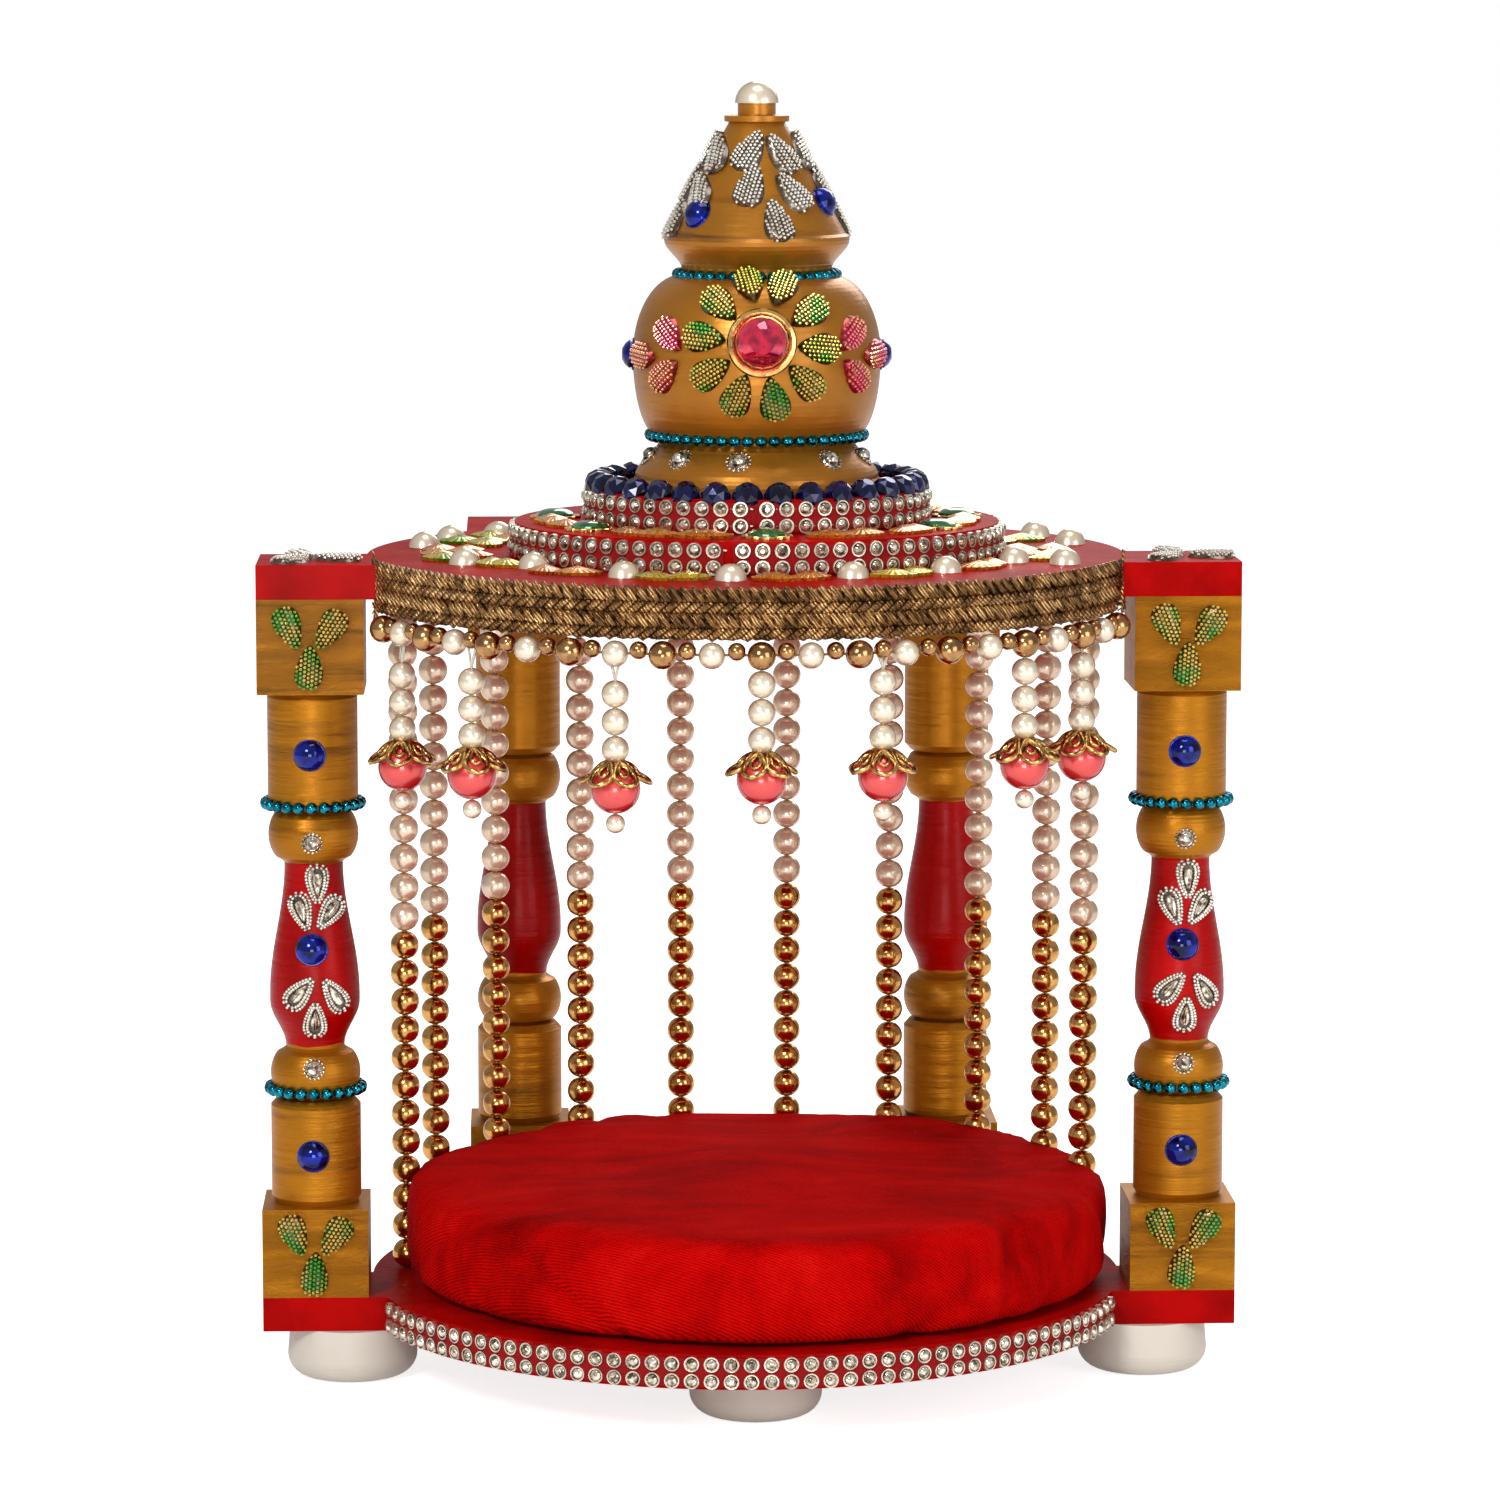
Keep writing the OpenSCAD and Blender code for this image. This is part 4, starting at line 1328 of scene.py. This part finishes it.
def crystal_flower(name, spread):
    """A cut stone in a cup ringed with fine silver grains."""
    silver = plated("silver_cup", (0.66, 0.61, 0.54), 0.14, 0.35, 500)
    gem = paint(stone_cut(f"{name}_stone", spread * 0.6, spread * 0.55, 10, 0.5), crystal())
    band = paint(rim(f"{name}_rim", spread * 0.62, spread * 0.1, 20, 5), silver)
    grain = paint(start("uv_sphere", f"{name}_grain", segments=7, ring_count=5, radius=spread * 0.13), silver)
    grain.scale.z = 0.8
    settle(grain)
    places = []
    for i in range(15):
        a = math.radians(24 * i)
        x, y = math.cos(a) * spread * 0.85, math.sin(a) * spread * 0.85
        places.append(Matrix.Translation((x, y, spread * 0.03)))
    return join(name, [gem, band, strew(f"{name}_grains", grain, places)])


def crystal_petal(name, width, length, silver):
    """A pear-shaped stone in a frame of two rows of silver grains, its point toward -Y."""
    gem = leaf(f"{name}_stone", width * 0.5, length * 0.6, 0.0012)
    plate = leaf(f"{name}_plate", width, length, 0.0003)
    grain = start("uv_sphere", f"{name}_grain", segments=7, ring_count=5, radius=0.0004)
    places = []
    for scale, lift in ((0.7, 0.0007), (1.0, 0.0003)):
        for i in range(12):
            t = (i + 0.5) / 12
            for side in (-1, 1):
                x = side * teardrop(t) * width / 2 * scale * 0.93
                places.append(Matrix.Translation((x, (t - 0.5) * length * (0.5 + scale / 2), lift)))
        places.append(Matrix.Translation((0, length / 2 * (0.5 + scale / 2), lift)))
    frame_grains = strew(f"{name}_grains", grain, places)
    # The plate under the grains takes the dark silver finish: painted shade between the grains.
    return join(name, [paint(frame_grains, silver[0]), paint(plate, silver[1]), paint(gem, crystal())])


def sequin(name, width, length):
    """A flat scalloped foil leaf with combed edges, lying on XY."""
    o = start("circle", name, vertices=36, radius=0.5, fill_type="TRIFAN")
    pick(o, lambda v: v.length > 0.1 and round(math.atan2(v.y, v.x) / (math.pi / 18)) % 2 == 0)
    bpy.ops.transform.resize(value=(0.86, 0.86, 1), center_override=(0, 0, 0))
    leave()
    pick(o, lambda v: v.length < 0.1)
    bpy.ops.transform.translate(value=(0, 0, 0.13))
    leave()
    o.scale = (width, length, 0.009)
    settle(o)
    modify(o, "SUBSURF", levels=1, render_levels=1, subdivision_type="SIMPLE")
    modify(o, "SOLIDIFY", thickness=0.0009, offset=1)
    return o


def fine_ring(name, radius, z, middle):
    """A ring of fine beads on a wire round an upright axis."""
    small = bead(f"{name}_bead", size("teal_bead") / 2, 10, 7, 0.1)
    small.rotation_euler = (0, math.pi / 2, 0)
    small.location = middle + Vector((0, -radius, z))
    settle(small)
    count = round(2 * math.pi * radius / (size("teal_bead") * 1.04))
    ring_array(small, count, 360 / count, middle)
    round_it = {"major_radius": radius, "minor_radius": 0.0003}
    wire = start("torus", f"{name}_wire", major_segments=48, minor_segments=5, **round_it)
    wire.location = middle + Vector((0, 0, z))
    return join(name, [small, wire])


def braid_yarn(colour):
    """Metallic yarn: fine twisted filaments, with random bright patches painted in as glints, and dark
    patches and the twist's grooves painted in as shade.
    """
    f = Finish("braid_yarn")
    fibre = f.node("TexWave", 1, Vector=f.place(rotation=(0.5, 0.6, 0.3)), Scale=420, Distortion=3, Detail=3)
    bright = (0.9, 0.56, 0.24)
    # Bright patches are painted glints and dark patches painted shade.
    patch = f.ramp(f.noise(240, detail=4), (0.38, shaded(colour, 0.2)), (0.5, colour), (0.62, bright))
    # The low parts of the fibre pattern are painted darker: painted shade in the grooves.
    f.set(Base_Color=f.mix(fibre, shaded(colour, 0.45), patch), Metallic=0.9)
    f.set(Roughness=f.span(f.noise(500), 0.22, 0.42))
    return f.bump(f.math("ADD", fibre, f.noise(900)), 0.0002)


class SHRINE_OT_stage(ShrineOperator, bpy.types.Operator):
    """Sets the floor, the soft lights, the surroundings and the camera"""

    bl_idname = "shrine.stage"
    bl_label = "Stage"

    def execute(self, context):
        scene = context.scene
        floor = start("plane", "floor", size=1)
        floor.scale = (9, 9, 1)
        floor.location = (0, 1.2, -0.0002)
        settle(floor)
        paint(floor, backdrop_white())

        world = bpy.data.worlds.get("studio") or bpy.data.worlds.new("studio")
        scene.world = world
        world.use_nodes = True
        tree = world.node_tree
        tree.nodes.clear()
        out = tree.nodes.new("ShaderNodeOutputWorld")
        plain = tree.nodes.new("ShaderNodeBackground")
        plain.inputs[0].default_value = (1, 1, 1, 1)
        plain.inputs[1].default_value = 0.4
        white = tree.nodes.new("ShaderNodeBackground")
        white.inputs[0].default_value = (1, 1, 1, 1)
        white.inputs[1].default_value = 1.0
        path = tree.nodes.new("ShaderNodeLightPath")
        mixer = tree.nodes.new("ShaderNodeMixShader")
        seen = tree.nodes.new("ShaderNodeMath")
        seen.operation = "MAXIMUM"
        tree.links.new(path.outputs["Is Camera Ray"], seen.inputs[0])
        tree.links.new(path.outputs["Is Transmission Ray"], seen.inputs[1])
        tree.links.new(seen.outputs[0], mixer.inputs[0])
        tree.links.new(plain.outputs[0], mixer.inputs[1])
        tree.links.new(white.outputs[0], mixer.inputs[2])
        tree.links.new(mixer.outputs[0], out.inputs[0])

        aim = Vector((0, AXIS_Y, 0.14))
        for name, place, wide, power in (
            ("key", (-0.6, -1.2, 0.95), 0.35, 11),
            ("fill", (0.9, -1.0, 0.45), 0.7, 5),
            ("low front", (-0.1, -1.5, 0.12), 0.45, 5.5),
            ("top", (0.05, -0.1, 1.3), 0.5, 3.5),
            ("back", (0.3, 1.0, 0.8), 0.7, 5),
        ):
            clear()
            bpy.ops.object.light_add(type="AREA", location=place)
            lamp = context.object
            lamp.name = name
            lamp.data.energy = power
            lamp.data.size = wide
            lamp.rotation_euler = (aim - Vector(place)).to_track_quat("-Z", "Y").to_euler()

        clear()
        eye = Vector((-0.0510, -1.3214, 0.3083))
        target = Vector((0.0009, -0.0010, 0.1386))
        bpy.ops.object.camera_add(location=eye)
        camera = context.object
        camera.data.lens = 142.5
        camera.data.sensor_width = 36
        camera.data.clip_start = 0.05
        camera.data.clip_end = 20
        camera.rotation_euler = (target - eye).to_track_quat("-Z", "Y").to_euler()
        scene.camera = camera
        scene.view_settings.view_transform = "Standard"
        return {"FINISHED"}


def backdrop_white():
    """A pale floor that is white to the eye and in reflections, and keeps the stand's shadow."""
    f = Finish("pale_floor")
    f.set(Base_Color=f.ramp(f.noise(3), (0.3, (0.8, 0.8, 0.8)), (0.7, (0.84, 0.84, 0.84))), Roughness=0.9)
    path = f.tree.nodes.new("ShaderNodeLightPath")
    dim = f.math("MULTIPLY", path.outputs["Is Glossy Ray"], 0.45)
    seen = f.math("MAXIMUM", path.outputs["Is Camera Ray"], dim)
    seen = f.math("MAXIMUM", seen, path.outputs["Is Transmission Ray"])
    glow = f.tree.nodes.new("ShaderNodeEmission")
    glow.inputs[0].default_value = (1, 1, 1, 1)
    glow.inputs[1].default_value = 0.8
    none = f.tree.nodes.new("ShaderNodeEmission")
    none.inputs[1].default_value = 0
    pick_glow = f.tree.nodes.new("ShaderNodeMixShader")
    f.tree.links.new(seen, pick_glow.inputs[0])
    f.tree.links.new(none.outputs[0], pick_glow.inputs[1])
    f.tree.links.new(glow.outputs[0], pick_glow.inputs[2])
    both = f.tree.nodes.new("ShaderNodeAddShader")
    f.tree.links.new(f.bsdf.outputs[0], both.inputs[0])
    f.tree.links.new(pick_glow.outputs[0], both.inputs[1])
    f.tree.links.new(both.outputs[0], f.out.inputs[0])
    return f.mat


class SHRINE_PT_panel(bpy.types.Panel):
    """Lists the stand's pieces, sizes and colours"""

    bl_label = "Shrine stand"
    bl_idname = "SHRINE_PT_panel"
    bl_space_type = "VIEW_3D"
    bl_region_type = "UI"
    bl_category = "Shrine"

    def draw(self, context):
        column = self.layout.column()
        for kind in STEPS:
            column.operator(kind.bl_idname)
        for group in (context.scene.shrine_sizes, context.scene.shrine_colours):
            for key in group.__annotations__:
                column.prop(group, key)


STEPS = (
    SHRINE_OT_paint,
    SHRINE_OT_cushion,
    SHRINE_OT_strands,
    SHRINE_OT_fringe,
    SHRINE_OT_tassels,
    SHRINE_OT_braid,
    SHRINE_OT_strips,
    SHRINE_OT_finial,
    SHRINE_OT_legs,
    SHRINE_OT_roof,
    SHRINE_OT_stage,
)
CLASSES = (ShrineColours, ShrineSizes, *STEPS, SHRINE_PT_panel)


def register():
    for kind in CLASSES:
        bpy.utils.register_class(kind)
    bpy.types.Scene.shrine_colours = bpy.props.PointerProperty(type=ShrineColours)
    bpy.types.Scene.shrine_sizes = bpy.props.PointerProperty(type=ShrineSizes)


def unregister():
    del bpy.types.Scene.shrine_sizes
    del bpy.types.Scene.shrine_colours
    for kind in reversed(CLASSES):
        bpy.utils.unregister_class(kind)


def main():
    register()
    for kind in STEPS:
        family, step = kind.bl_idname.split(".")
        getattr(getattr(bpy.ops, family), step)()


def plain(box):
    """A box as plain lists of numbers."""
    return [[round(float(c), 6) for c in corner] for corner in box]


if __name__ == "__main__":
    main()
